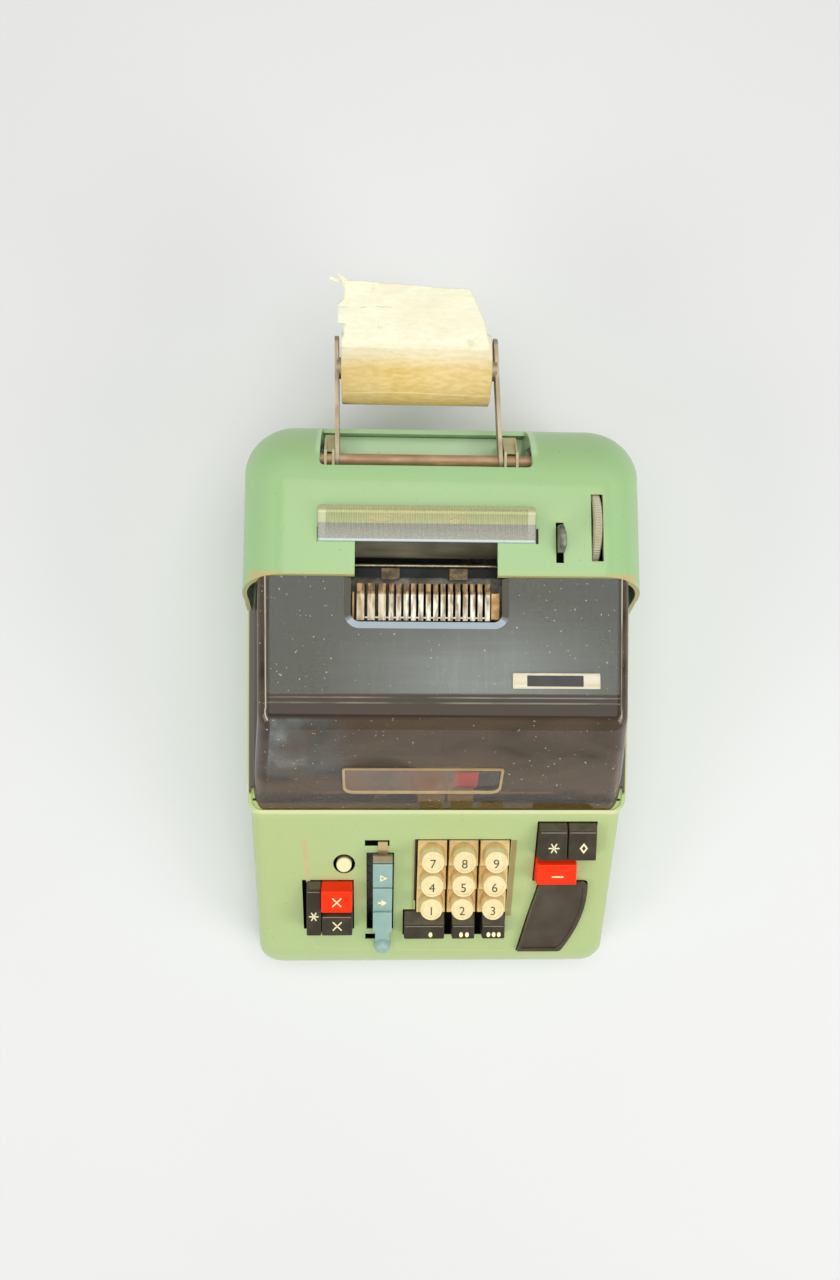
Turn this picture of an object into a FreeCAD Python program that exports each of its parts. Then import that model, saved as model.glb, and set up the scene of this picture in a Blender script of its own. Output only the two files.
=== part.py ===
import FreeCAD, Part

import math
import os

from FreeCAD import Vector

# Electromechanical ten-key printing calculator, in millimetres.
# +X is the operator's right, +Y points from the keys to the rear, +Z is up, and the
# rubber feet stand on z = 0.  Distances called *_AHEAD run from the front wall to the
# rear, distances called *_IN run from the rear wall towards the front.

# ---- driving dimensions: casing ----
BODY_WIDTH = 230.0
BODY_DEPTH = 348.0
FOOT_HEIGHT = 5.0
CASE_WALL = 2.6
PARTING_GAP = 0.3            # seam between two neighbouring covers
BASE_RIM_HEIGHT = 100.0      # where the base shell meets the rear cover
FRONT_CORNER_RADIUS = 15.0
REAR_CORNER_RADIUS = 28.0
DECK_TILT = 25.0             # degrees, keyboard deck
DECK_SIDE_ROUND = 8.0
DECK_FRONT_ROUND = 24.0
HOOD_FOOT_AHEAD = 118.0      # front wall to the hood's foot
HOOD_FOOT_HEIGHT = 92.5
COVER_TILT = 8.5             # degrees, top of the rear cover and of the hood
COVER_REAR_HEIGHT = 133.4    # top plane carried on to the rear wall
COVER_SIDE_ROUND = 27.6
COVER_REAR_ROUND = 45.0
COVER_TOP_IN = 88.0          # rear wall to the cover's front edge, on top
COVER_FOOT_IN = 109.0        # and at the rim
LIP_WIDTH = 2.2              # raised lip around the hood's foot
LIP_HEIGHT = 1.3
SHAFT_LAP = 1.0              # space under the hood runs this far into the deck's hollow
FOOT_LEDGE = 7.0             # deck carried on under the hood

# ---- driving dimensions: smoked hood ----
HOOD_WALL = 2.5
HOOD_DROP = 2.0              # hood's top lies this far under the cover's top
HOOD_FACE_TILT = 46.0        # degrees, sloping front face
HOOD_DRAFT = 10.0            # degrees, side walls lean in
HOOD_SIDE_ROUND = 8.0
HOOD_BROW_ROUND = 14.0
TYPE_WINDOW_LEFT = -52.0
TYPE_WINDOW_RIGHT = 32.2
TYPE_WINDOW_FRONT_IN = 114.0
TYPE_WINDOW_CORNER = 5.0
TYPE_WINDOW_BEVEL = 3.6      # sloping rim around the window
TYPE_WINDOW_BEVEL_DEPTH = 2.0
LENS_LEFT = -56.2
LENS_RIGHT = 36.0
LENS_FOOT = 20.5             # along the face, from the hood's foot
LENS_HEIGHT = 23.5
LENS_THICKNESS = 4.0
LENS_PROUD = 1.0             # lens stands out of the face
LENS_CLEARANCE = 0.15        # round the lens in its opening
LENS_LEAD = 20.0             # cut for the lens, each way from the face
LENS_CORNER = 5.0
PLATE_LEFT = 37.4
PLATE_WIDTH = 48.3
PLATE_FRONT_IN = 150.0
PLATE_DEPTH = 8.4
PLATE_THICKNESS = 0.8

# ---- driving dimensions: keys ----
KEY_TRAVEL = 5.0
KEY_GAP = 0.35               # between neighbouring caps
OPENING_GAP = 0.8            # between caps and the deck's opening
KEY_SKIRT = 8.0              # caps reach this far under the deck
KEY_SLOPE = 7.0              # degrees, tops lean to the operator
STEM_WIDTH = 3.0
STEM_DEPTH = 7.0
STEM_TAIL = 10.0             # stem under the keyboard frame
STEM_CLEARANCE = 0.3
STEM_TOP_OVERLAP = 1.0       # stem runs up into its cap
CAP_ROUND = 1.0
CAP_REAR_FOOT = 1.0          # upright foot of a cap's sloping rear face
PAD_CENTRE_X = 17.6
PAD_REAR_AHEAD = 96.5
PAD_PITCH_X = 19.7
PAD_PITCH_Y = 17.3
BLOCK_WIDTH = 18.4
BLOCK_LIFT = 2.2
BLOCK_ROUND = 0.8
DIGIT_LIFT = 9.0             # round button above its block
DIGIT_BASE_RADIUS = 7.9
DIGIT_TOP_RADIUS = 7.0
DIGIT_LEAN = 3.4             # the button's top lies this far ahead of its base
DISH_RADIUS = 5.7
DISH_DEPTH = 0.4
BUTTON_SINK = 0.8            # button runs down into its block
ZERO_LIFT = 11.0
ZERO_WIDTH = 26.2
ZERO_DEPTH = 18.2
ZERO_TOP_DEPTH = 10.0
MULTI_ZERO_WIDTH = 14.8
RIGHT_KEYS_MARGIN = 15.4     # right wall to the subtotal key
RIGHT_KEYS_AHEAD = 109.0     # front wall to the rear of the total keys
TOTAL_WIDTH = 17.6
TOTAL_DEPTH = 23.8
TOTAL_LIFT = 12.0
MINUS_WIDTH = 25.4
MINUS_DEPTH = 17.2
REAR_BEVEL = 4.2             # sloping rear face of the tall caps
PLUS_LIFT = 4.0
PLUS_REAR_AHEAD = 66.6
PLUS_FRONT_AHEAD = 13.2
PLUS_REAR_WIDTH = 30.6
PLUS_FRONT_WIDTH = 28.5
PLUS_SPREAD = 4.8            # how much wider it is half-way
PLUS_SWEEP = 13.0            # its front lies this much nearer the middle
PLUS_MARGIN = 16.7           # right wall to the plus bar
PLUS_BOW = 1.4
PLUS_CORNER = 3.2            # rounding of its two right corners
PLUS_RIM = 2.4               # flat rim round the hollow in its top
PLUS_HOLLOW = 0.9
LEFT_KEYS_MARGIN = 33.4      # left wall to the product total key
LEFT_KEYS_SPACE = 2.2        # opening wider on their left
LEFT_KEYS_AHEAD = 67.0
LEFT_KEYS_LIFT = 16.0
STAR_WIDTH = 9.3
TIMES_WIDTH = 19.5
RED_TIMES_DEPTH = 18.3
BLACK_TIMES_DEPTH = 17.0
CLEAR_X = -57.6
CLEAR_AHEAD = 79.6
CLEAR_HOLE_RADIUS = 6.9
CLEAR_RADIUS = 4.8
CLEAR_LIFT = 3.0
CLEAR_ROUND = 1.2

# ---- driving dimensions: shift lever with its two keys ----
SHIFT_X = -33.2
SHIFT_WIDTH = 12.2
SHIFT_TRAVEL = 3.2           # sideways, to the left
SHIFT_REAR_AHEAD = 87.0
SHIFT_KEY_DEPTH = 15.6
SHIFT_RIDGE = 2.2
SHIFT_REAR_BLOCK = 5.0       # block behind the triangle key
SHIFT_LIFT = 9.0
SHIFT_BLOCK_DROP = 2.0       # rear block under the keys' tops
SHIFT_RIDGE_DROP = 1.5
SHIFT_KEY_HEIGHT = 9.0       # body of its two keys
SHIFT_KEY_ROUND = 0.8
SHIFT_KEY_TRAVEL = 3.0
SHIFT_POST = 9.0             # post under each of its keys
SHIFT_FRONT_SECTION = 15.2
SHIFT_OPENING_MARGIN = 1.0
SHIFT_RAIL = 4.0             # carrier bar under the deck
SHIFT_PLATE = 3.0
SHIFT_NECK_INSET = 1.5
SHIFT_BALL_RADIUS = 5.7
SHIFT_BALL_AHEAD = 21.0
SHIFT_BALL_DROP = 1.0
SHIFT_TAB_WIDTH = 4.0
SHIFT_TONGUE_WIDTH = 6.0
SHIFT_TONGUE = 1.0           # sheet of the tongue and its hook
SHIFT_TAIL = 6.0             # tab and hook reach this far under the deck
SLOT_DEPTH = 4.0
SLOT_LENGTH = 15.4
SLOT_RIGHT_INSET = 2.0       # slot's right end from the lever's right side
REAR_SLOT_AHEAD = 94.6
FRONT_SLOT_AHEAD = 24.4

# ---- driving dimensions: rear cover's fittings ----
RECESS_LEFT = -70.4
RECESS_RIGHT = 49.8
RECESS_FRONT_IN = 26.6
RECESS_FLOOR = 90.0
RECESS_SKIN = 0.5            # recess walls end this far inside the cover's surface
RECESS_CORNER = 3.0          # rounding of its two front corners
ROD_OPENING_FRONT = 3.6      # opening in each end wall, from the rod's axis
ROD_OPENING_REAR = 9.0
ROD_OPENING_DROP = 18.0
ROD_OPENING_RISE = 3.6
PAPER_SLOT_DROP = 20.0       # slot for the paper in the recess's front wall
PAPER_SLOT_HEIGHT = 6.0
BRACKET_LEFT_X = -68.2       # left sides of the two channels
BRACKET_RIGHT_X = 34.4
BRACKET_LEFT_WIDTH = 6.0
BRACKET_RIGHT_WIDTH = 8.2
BRACKET_SHEET = 1.5
BRACKET_FRONT = 4.6          # cheeks in front of and above the rod's axis
BRACKET_REAR_DROP = 9.0      # cheeks' rear corner under the rod's axis
BRACKET_REAR_GAP = 4.0
PRINT_WINDOW_LEFT = -50.0
PRINT_WINDOW_RIGHT = 29.4
PRINT_WINDOW_REAR_IN = 57.0
TEAR_BAR_LEFT = -70.5
TEAR_BAR_RIGHT = 50.5
TEAR_BAR_FRONT_IN = 69.6
TEAR_BAR_DEPTH = 20.0
TEAR_BAR_HEIGHT = 4.6
TEAR_BAR_FRONT_HEIGHT = 2.0
TEAR_BAR_CREST = 3.0         # crest's distance from the rear edge
TEAR_BAR_REAR_DROP = 1.5
LEVER_SLOT_X = 64.2
LEVER_SLOT_WIDTH = 4.4
LEVER_SLOT_FRONT_IN = 80.6
LEVER_SLOT_LENGTH = 22.7
LEVER_PIVOT_AHEAD = 14.4     # ahead of the platen's axis
LEVER_PIVOT_DROP = 8.5       # under the platen's axis
LEVER_LIFT = 12.0            # lever's top over the cover
LEVER_REAR_GAP = 1.2         # finger piece to the slot's rear end and sides
LEVER_SIDE_GAP = 0.6
LEVER_FINGER = 16.5          # length of the finger piece
LEVER_CHAMFER = 4.0
LEVER_NECK = 5.0
LEVER_HUB_RADIUS = 6.0
WHEEL_SLOT_X = 85.4
WHEEL_SLOT_WIDTH = 6.8
WHEEL_SLOT_LENGTH = 37.8
WHEEL_RADIUS = 25.0
WHEEL_WIDTH = 5.0

# ---- driving dimensions: platen, paper and printing parts ----
PLATEN_IN = 60.6
PLATEN_COVER_GAP = 2.33      # platen's top under the cover's inner surface
PLATEN_RADIUS = 17.0
PLATEN_LEFT = -58.0
PLATEN_RIGHT = 54.0
SHAFT_RADIUS = 4.0
SHAFT_CLEARANCE = 0.05
ROD_IN = 21.6
ROD_HEIGHT = 124.0
ROD_RADIUS = 3.15
ARM_LEFT_X = -60.7           # arms' middles at the rod and at their tips
ARM_LEFT_TIP_X = -61.5
ARM_RIGHT_X = 32.5
ARM_RIGHT_TIP_X = 28.7
ARM_THICKNESS = 2.2
ARM_HEIGHT = 9.4
ARM_REACH = 51.5             # rod axis to roll axis
ARM_TIP_REACH = 18.0         # strip past the roll axis
ARM_STUB = 14.0              # stub in the roll's core
ROLL_RADIUS = 20.0
ROLL_SIDE_GAP = 2.2
ROLL_CORE_RADIUS = 6.0
FLAP_ANGLE = 20.0            # where the loose end leaves the roll, past the top
FLAP_LENGTH = 43.92
PAPER_THICKNESS = 0.5
TYPE_BAR_LEFT_X = -46.8
TYPE_WIDE_COUNT = 3
TYPE_WIDE_PITCH = 6.05
TYPE_WIDE_WIDTH = 4.2
TYPE_BAR_COUNT = 14
TYPE_BAR_PITCH = 4.18
TYPE_BAR_WIDTH = 2.7
TYPE_BAR_FRONT_IN = 113.4
TYPE_BAR_DEPTH = 20.8
TYPE_BAR_TOP = 137.5
TYPE_BAR_BOTTOM = 84.0
TYPE_STEP_DEPTH = 4.5        # lower step at the bars' rear
TYPE_STEP_DROP = 2.5
TYPE_STROKE = 8.0
TYPE_ROD_END = 4.0           # rod past the outer bars
COMB_DROP = 19.5             # comb's top under the type bars' tops
COMB_THICKNESS = 2.5
COMB_MARGIN = 4.0            # bridge in front of and behind the bars
RIBBON_LIFT = 3.5            # ribbon above the comb
RIBBON_WIDTH = 5.4
RIBBON_BUNDLE = 1.7          # height of the ribbon as it hangs in the guides
GUIDE_LEFT_X = -30.0         # middles of the two tabs
GUIDE_RIGHT_X = 9.2
GUIDE_WIDTH = 10.4
GUIDE_BEHIND = 2.5           # guides behind the type bars
GUIDE_SHEET = 1.0
GUIDE_TOP_DEPTH = 6.5
GUIDE_FOOT_DEPTH = 5.5
GUIDE_HEADROOM = 2.0
BAIL_RADIUS = 1.0
BAIL_GAP = 4.6               # in front of the platen
BAIL_LIFT = 5.0              # above the platen's axis
BAIL_ROD_RADIUS = 2.0
BAIL_ROD_DROP = 47.0         # bail rod under the type bars' tops
SPOOL_RADIUS = 16.0
SPOOL_HEIGHT = 13.0
SPOOL_HUB_RADIUS = 12.0
SPOOL_FLANGE = 1.0
SPOOL_POST_RADIUS = 2.5
SPOOL_PLATE_MARGIN = 2.0
SPOOL_LEFT_X = -58.0
SPOOL_RIGHT_X = 54.0
SPOOL_IN = 142.0
SPOOL_PLATE_HEIGHT = 106.0
SPOOL_PLATE_THICKNESS = 2.0

# ---- driving dimensions: frame and drive ----
FRAME_LEFT_X = -78.0
FRAME_RIGHT_X = 74.0
FRAME_THICKNESS = 2.0
PIN_RADIUS = 2.5
SHAFT_END = 5.0              # shafts past the side frames
ROD_END = 3.0                # thinner rods past the side frames
FRAME_RISE = 18.0            # side frames' tops over the base rim
FRAME_BEHIND_FOOT = 12.0     # side frames begin behind and under the hood's foot
FRAME_FACE_STEP = 24.0
FRAME_MARGIN_TOP = 10.0
FRAME_NECK = 12.0            # frame round the platen's shaft
TIE_LIFT = 8.0
TIE_FROM_FOOT = 20.0
TIE_UNDER_RECESS = 12.0
TIE_UNDER_PLATEN = 11.5
KEY_FRAME_LEFT_INSET = 24.0
KEY_FRAME_RIGHT_INSET = 8.0
KEY_FRAME_FRONT_INSET = 14.0
KEY_FRAME_PAST_FOOT = 4.0
FRAME_DEPTH_UNDER_DECK = 17.0
FRAME_PLATE = 1.6            # keyboard frame
FRAME_LEG = 6.0
PLATE_SHEET = 1.5
FOOT_RADIUS = 10.0
FOOT_INSET = 26.0
FOOT_ROUND = 1.0
SCREW_RADIUS = 2.0
SCREW_HEAD_RADIUS = 3.75
SCREW_HEAD_HEIGHT = 2.4
SCREW_LENGTH = 14.0
SCREW_SLOT = 1.0             # width and depth
BOSS_SIZE = 12.0
BOSS_FRONT_INSET = 45.0
BOSS_REAR_INSET = 56.0
BOSS_HEIGHT = 20.0
INNER_LEDGE = 3.5            # ledge inside the rim that carries the covers
INNER_LEDGE_HEIGHT = 4.0
INNER_LEDGE_GAP = 0.1
LEDGE_ROOT = 0.5             # ledge runs into the wall
SQUARE_CORNER = 0.5          # plan corner where two pieces meet without a visible round
GEAR_MODULE = 1.5
DRIVE_TEETH = 60
MOTOR_TEETH = 15
DRIVE_IN = 114.8
DRIVE_HEIGHT = 56.0
DRIVE_RADIUS = 5.0
MOTOR_HEIGHT = 42.0
MOTOR_RADIUS = 30.0
MOTOR_LENGTH = 70.0
MOTOR_LEFT_X = -56.0
MOTOR_WALL = 3.0
ROTOR_RADIUS = 20.0
GEAR_X = 56.0
GEAR_WIDTH = 7.0
CAM_RADIUS = 15.0
CAM_THROW = 4.0
CAM_WIDTH = 6.0
CAM_LEFT_X = -48.0           # left side of the first cam
CAM_PITCH = 40.0
CAM_COUNT = 3
MOTOR_FOOT_WIDTH = 10.0
MOTOR_FOOT_HALF_DEPTH = 22.0
MOTOR_FOOT_INSET = 4.0
ROTOR_INSET = 12.0
REGISTER_IN = 161.0
REGISTER_HEIGHT = 82.0
REGISTER_WHEEL_RADIUS = 11.0
REGISTER_WHEEL_WIDTH = 2.8
REGISTER_COUNT = 14
RAIL_RADIUS = 3.0
RAIL_FRONT_AHEAD = 150.0
RAIL_REAR_AHEAD = 166.0
RAIL_HEIGHT = 84.0
CARRIAGE_LEFT_X = 4.0
CARRIAGE_WIDTH = 56.0
CARRIAGE_FRONT = 7.0         # block in front of the front rail, behind the rear rail,
CARRIAGE_REAR = 6.0
CARRIAGE_DROP = 8.0          # and under and over the rails
CARRIAGE_RISE = 6.0
PIN_COLUMN_COUNT = 10
PIN_ROW_COUNT = 3
PIN_ROW_PITCH = 8.0
PIN_INSET = 6.0
PIN_LIFT = 2.0
CARRIAGE_PIN_RADIUS = 1.0
FLAG_X = 16.0
FLAG_WIDTH = 15.0
FLAG_AHEAD = 140.2
FLAG_HEIGHT = 105.3
FLAG_SLANT = 15.4
FLAG_SHEET = 2.0
FLAG_STEM_WIDTH = 6.0
INLET_X = 50.0
INLET_WIDTH = 27.0
INLET_HEIGHT = 19.0
INLET_DEPTH = 16.0
INLET_Z = 34.0
INLET_WALL = 2.5
INLET_PIN_PITCH = 6.5
INLET_PIN_WIDTH = 2.0
INLET_PIN_HEIGHT = 5.0
INLET_PIN_BACK = 3.0         # pins' tips behind the wall's surface

# ---- construction ----
FAR = 400.0                  # longer than the calculator, for cuts that pass right through
DOME_SECTION_COUNT = 10      # sections in a cover's rounded end
PLUS_STEP_COUNT = 8          # corners along the plus bar's side
LEAST_CORNER = 3.0           # plan corner of a cover's rounded end, at its top
DECK_RUN = 40.0              # deck's solid carried on behind the hood's foot
SLIGHT = 0.01                # tolerance when edges are picked by height

# ---- derived places ----
HALF_WIDTH = BODY_WIDTH / 2
HOOD_FOOT_HALF_WIDTH = HALF_WIDTH - LIP_WIDTH - PARTING_GAP
FLAP_RISE = math.radians(FLAP_ANGLE)
FLAP_ROOT_RADIUS = ROLL_RADIUS + PARTING_GAP
FLAP_REACH = ((FLAP_ROOT_RADIUS + PAPER_THICKNESS) * math.sin(FLAP_RISE) +
              FLAP_LENGTH * math.cos(FLAP_RISE))
ROLL_OVERHANG = ARM_REACH + FLAP_REACH - ROD_IN
FRONT_Y = -(BODY_DEPTH + ROLL_OVERHANG) / 2
REAR_Y = FRONT_Y + BODY_DEPTH
HOOD_FOOT_Y = FRONT_Y + HOOD_FOOT_AHEAD
PLATE_BOTTOM = FOOT_HEIGHT + PARTING_GAP
PLATE_TOP = PLATE_BOTTOM + PLATE_SHEET
FRAME_INNER_LEFT = FRAME_LEFT_X + FRAME_THICKNESS / 2
FRAME_INNER_RIGHT = FRAME_RIGHT_X - FRAME_THICKNESS / 2
PLATEN_Y = REAR_Y - PLATEN_IN
ROD_Y = REAR_Y - ROD_IN
ROLL_Y = ROD_Y + ARM_REACH
DRIVE_Y = REAR_Y - DRIVE_IN
COMB_HEIGHT = TYPE_BAR_TOP - COMB_DROP
RIBBON_HEIGHT = COMB_HEIGHT + RIBBON_LIFT
LEVER_PIVOT_Y = PLATEN_Y - LEVER_PIVOT_AHEAD
BLOCK_DEPTH = PAD_PITCH_Y - KEY_GAP
DECK_LEAN = math.radians(DECK_TILT)
FACE_LEAN = math.radians(HOOD_FACE_TILT)
COVER_LEAN = math.radians(COVER_TILT)
DECK_RISE = math.tan(DECK_LEAN)
COVER_FALL = math.tan(COVER_LEAN)
PLATEN_TOP = COVER_REAR_HEIGHT + COVER_FALL * PLATEN_IN - CASE_WALL / math.cos(COVER_LEAN) - PLATEN_COVER_GAP
PLATEN_HEIGHT = PLATEN_TOP - PLATEN_RADIUS
LEVER_PIVOT_HEIGHT = PLATEN_HEIGHT - LEVER_PIVOT_DROP
FACE_RISE = math.tan(FACE_LEAN)
CAP_RISE = math.tan(math.radians(KEY_SLOPE))
ARM_END_Y = ROLL_Y + ARM_TIP_REACH


def deck_z(y):
    """Height of the keyboard deck's surface at y."""
    return HOOD_FOOT_HEIGHT + DECK_RISE * (y - HOOD_FOOT_Y)


def cover_z(y):
    """Height of the rear cover's top plane at y."""
    return COVER_REAR_HEIGHT + COVER_FALL * (REAR_Y - y)


def hood_z(y):
    """Height of the hood's top plane at y."""
    return cover_z(y) - HOOD_DROP


def box(x0, x1, y0, y1, z0, z1):
    return Part.makeBox(x1 - x0, y1 - y0, z1 - z0, Vector(x0, y0, z0))


def x_rod(radius, x0, x1, y, z):
    return Part.makeCylinder(radius, x1 - x0, Vector(x0, y, z), Vector(1, 0, 0))


def z_rod(radius, x, y, z0, z1):
    return Part.makeCylinder(radius, z1 - z0, Vector(x, y, z0), Vector(0, 0, 1))


def side_prism(points, x0, x1):
    """Prism along X over a closed outline of (y, z) points."""
    corners = [Vector(x0, y, z) for y, z in points]
    face = Part.Face(Part.makePolygon(corners + corners[:1]))
    return face.extrude(Vector(x1 - x0, 0, 0))


def plan_prism(points, z0, z1):
    """Prism along Z over a closed outline of (x, y) points."""
    corners = [Vector(x, y, z0) for x, y in points]
    face = Part.Face(Part.makePolygon(corners + corners[:1]))
    return face.extrude(Vector(0, 0, z1 - z0))


def round_edges(shape, radius, chosen):
    """Fillet the edges for which chosen(middle, direction) is true."""
    edges = []
    for edge in shape.Edges:
        if len(edge.Vertexes) < 2:
            continue
        start, end = edge.Vertexes[0].Point, edge.Vertexes[-1].Point
        along = end - start
        if along.Length > 1e-6 and chosen((start + end) * 0.5, along.normalize()):
            edges.append(edge)
    return shape.makeFillet(radius, edges) if edges else shape


def rounded_plan(half_width, y_front, y_rear, r_front, r_rear, z0, z1):
    """Upright block with rounded front and rear corners."""
    block = box(-half_width, half_width, y_front, y_rear, z0, z1)
    middle = (y_front + y_rear) / 2
    block = round_edges(block, r_front, lambda p, d: abs(d.z) > 0.9 and p.y < middle)
    return round_edges(block, r_rear, lambda p, d: abs(d.z) > 0.9 and p.y > middle)


def domed_block(half_width, reach, top_at_end, tilt, side_round, end_round, corner, back):
    """Block whose tilted top falls towards its end wall at y = reach.

    The top turns into the end wall with end_round and into the side walls with
    side_round; the plan corners have the radius corner.  It starts at y = back.
    """
    slope = math.radians(tilt)
    along = Vector(0, math.cos(slope), -math.sin(slope))
    centre_y = reach - end_round
    centre_z = top_at_end + math.tan(slope) * end_round - end_round / math.cos(slope)
    wires = []
    for step in range(DOME_SECTION_COUNT):
        lean = slope + (math.pi / 2 - slope) * step / (DOME_SECTION_COUNT - 1)
        depth = end_round * (1 - math.cos(lean - slope))
        end = Vector(0, centre_y + end_round * math.sin(lean),
                     centre_z + end_round * math.cos(lean))
        inset = 0.0
        if depth < side_round:
            inset = side_round - math.sqrt(side_round ** 2 - (side_round - depth) ** 2)
        radius = max(corner - inset, min(LEAST_CORNER, corner))
        side = half_width - inset
        start = end - along * ((end.y - back) / along.y)
        across = Vector(side, 0, 0)
        turn = end - along * radius
        quarter = radius * (1 - math.cos(math.pi / 4))
        bend = end - along * quarter + Vector(side - quarter, 0, 0)
        mirror = Vector(-bend.x, bend.y, bend.z)
        tip = Vector(side - radius, 0, 0)
        wires.append(Part.Wire([
            Part.makeLine(start - across, start + across),
            Part.makeLine(start + across, turn + across),
            Part.Arc(turn + across, bend, end + tip).toShape(),
            Part.makeLine(end + tip, end - tip),
            Part.Arc(end - tip, mirror, turn - across).toShape(),
            Part.makeLine(turn - across, start - across),
        ]))
    dome = Part.makeLoft(wires, True, False)
    skirt = Part.Face(wires[-1]).extrude(Vector(0, 0, -FAR))
    return dome.fuse(skirt)


def deck_block(inset):
    """Solid under the keyboard deck, out to the base shell's outer (inset 0) faces."""
    half = HALF_WIDTH - inset
    front = FRONT_Y + inset
    back = HOOD_FOOT_Y + DECK_RUN
    top = deck_z(front) - inset / math.cos(DECK_LEAN)
    block = domed_block(half, -front, top, DECK_TILT, DECK_SIDE_ROUND - inset,
                        DECK_FRONT_ROUND - inset, FRONT_CORNER_RADIUS - inset, -back)
    return block.mirror(Vector(0, 0, 0), Vector(0, 1, 0))


def cover_block(inset):
    """Solid inside the rear cover's outer (inset 0) or inner faces."""
    reach = REAR_Y - inset
    top = cover_z(reach) - inset / math.cos(COVER_LEAN)
    return domed_block(HALF_WIDTH - inset, reach, top, COVER_TILT, COVER_SIDE_ROUND - inset,
                       COVER_REAR_ROUND - inset, REAR_CORNER_RADIUS - inset, HOOD_FOOT_Y)


def half_space(y0, y1, z0, z1):
    """Box right across the calculator."""
    return box(-FAR, FAR, y0, y1, z0, z1)


def deck_space(rise):
    """Everything above the deck's surface raised by rise."""
    top = deck_z(FAR) + FAR
    points = [(-FAR, deck_z(-FAR) + rise), (FAR, deck_z(FAR) + rise), (FAR, top), (-FAR, top)]
    return side_prism(points, -FAR, FAR)


def pad_rows():
    """Centre y of the three digit rows, rear row first."""
    first = FRONT_Y + PAD_REAR_AHEAD - BLOCK_DEPTH / 2
    return [first - row * PAD_PITCH_Y for row in range(3)]


def pad_columns():
    return [PAD_CENTRE_X + (column - 1) * PAD_PITCH_X for column in range(3)]


def cap_places():
    """Footprint (x0, x1, y0, y1) of every plain cap."""
    places = {}
    columns = pad_columns()
    zero_rear = pad_rows()[2] - BLOCK_DEPTH / 2 - KEY_GAP
    zero_front = zero_rear - ZERO_DEPTH
    right = columns[0] + BLOCK_WIDTH / 2
    places["zero_key"] = (right - ZERO_WIDTH, right, zero_front, zero_rear)
    for name, column in (("double_zero_key", 1), ("triple_zero_key", 2)):
        right = columns[column] + BLOCK_WIDTH / 2
        places[name] = (right - MULTI_ZERO_WIDTH, right, zero_front, zero_rear)

    right = HALF_WIDTH - RIGHT_KEYS_MARGIN
    rear = FRONT_Y + RIGHT_KEYS_AHEAD
    front = rear - TOTAL_DEPTH
    left = right - 2 * TOTAL_WIDTH - 2 * KEY_GAP
    places["subtotal_key"] = (right - TOTAL_WIDTH, right, front, rear)
    places["total_key"] = (left, left + TOTAL_WIDTH, front, rear)
    minus_rear = front - KEY_GAP
    places["minus_key"] = (left, left + MINUS_WIDTH, minus_rear - MINUS_DEPTH, minus_rear)

    left = -HALF_WIDTH + LEFT_KEYS_MARGIN
    rear = FRONT_Y + LEFT_KEYS_AHEAD
    times_left = left + STAR_WIDTH + KEY_GAP
    middle = rear - RED_TIMES_DEPTH
    front = middle - KEY_GAP - BLACK_TIMES_DEPTH
    places["product_total_key"] = (left, left + STAR_WIDTH, front, rear)
    places["negative_times_key"] = (times_left, times_left + TIMES_WIDTH, middle, rear)
    places["times_key"] = (times_left, times_left + TIMES_WIDTH, front, middle - KEY_GAP)
    return places


def stem(x, y):
    """Flat steel stem from under the deck down through the keyboard frame."""
    top = deck_z(y) - KEY_SKIRT + STEM_TOP_OVERLAP
    bottom = deck_z(y) - FRAME_DEPTH_UNDER_DECK - FRAME_PLATE - STEM_TAIL
    return box(x - STEM_WIDTH / 2, x + STEM_WIDTH / 2, y - STEM_DEPTH / 2, y + STEM_DEPTH / 2,
               bottom, top)


def sloping_cap(place, lift, rear_bevel, top_depth=None):
    """Key cap with a top that leans to the operator and a sloping rear face."""
    x0, x1, y0, y1 = place
    top_rear = y1 - rear_bevel if top_depth is None else y0 + top_depth
    front_top = deck_z(y0) + lift
    rear_top = front_top + CAP_RISE * (top_rear - y0)
    outline = [(y0, deck_z(y0) - KEY_SKIRT), (y1, deck_z(y1) - KEY_SKIRT),
               (y1, min(deck_z(y1) + CAP_REAR_FOOT, rear_top)), (top_rear, rear_top), (y0, front_top)]
    cap = side_prism(outline, x0, x1)
    upper = deck_z(y0) + CAP_ROUND
    cap = round_edges(cap, CAP_ROUND, lambda p, d: p.z > upper)
    middle = (y0 + y1) / 2
    return cap.fuse(stem((x0 + x1) / 2, middle)).removeSplitter()


def digit_key(x, y):
    """Square block with a round, dished button leaning to the operator."""
    half_x, half_y = BLOCK_WIDTH / 2, BLOCK_DEPTH / 2
    top = deck_z(y) + BLOCK_LIFT
    outline = [(y - half_y, deck_z(y - half_y) - KEY_SKIRT), (y + half_y, deck_z(y + half_y) - KEY_SKIRT),
               (y + half_y, top + CAP_RISE * half_y), (y - half_y, top - CAP_RISE * half_y)]
    block = side_prism(outline, x - half_x, x + half_x)
    block = round_edges(block, BLOCK_ROUND, lambda p, d: p.z > top - CAP_RISE * half_y - SLIGHT)
    seat_y = y - half_y + DIGIT_BASE_RADIUS + KEY_GAP
    up = Vector(0, -math.sin(math.radians(KEY_SLOPE)), math.cos(math.radians(KEY_SLOPE)))
    seat = Vector(x, seat_y, top + CAP_RISE * (seat_y - y) - BUTTON_SINK)
    crown = seat + Vector(0, -DIGIT_LEAN, DIGIT_LIFT + BUTTON_SINK)
    rings = [Part.Wire(Part.makeCircle(DIGIT_BASE_RADIUS, seat, up)),
             Part.Wire(Part.makeCircle(DIGIT_TOP_RADIUS, crown, up))]
    button = Part.makeLoft(rings, True, True)
    dish = Part.makeCylinder(DISH_RADIUS, 2 * DISH_DEPTH, crown - up * DISH_DEPTH, up)
    return block.fuse([button, stem(x, y)]).cut(dish).removeSplitter()


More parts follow.
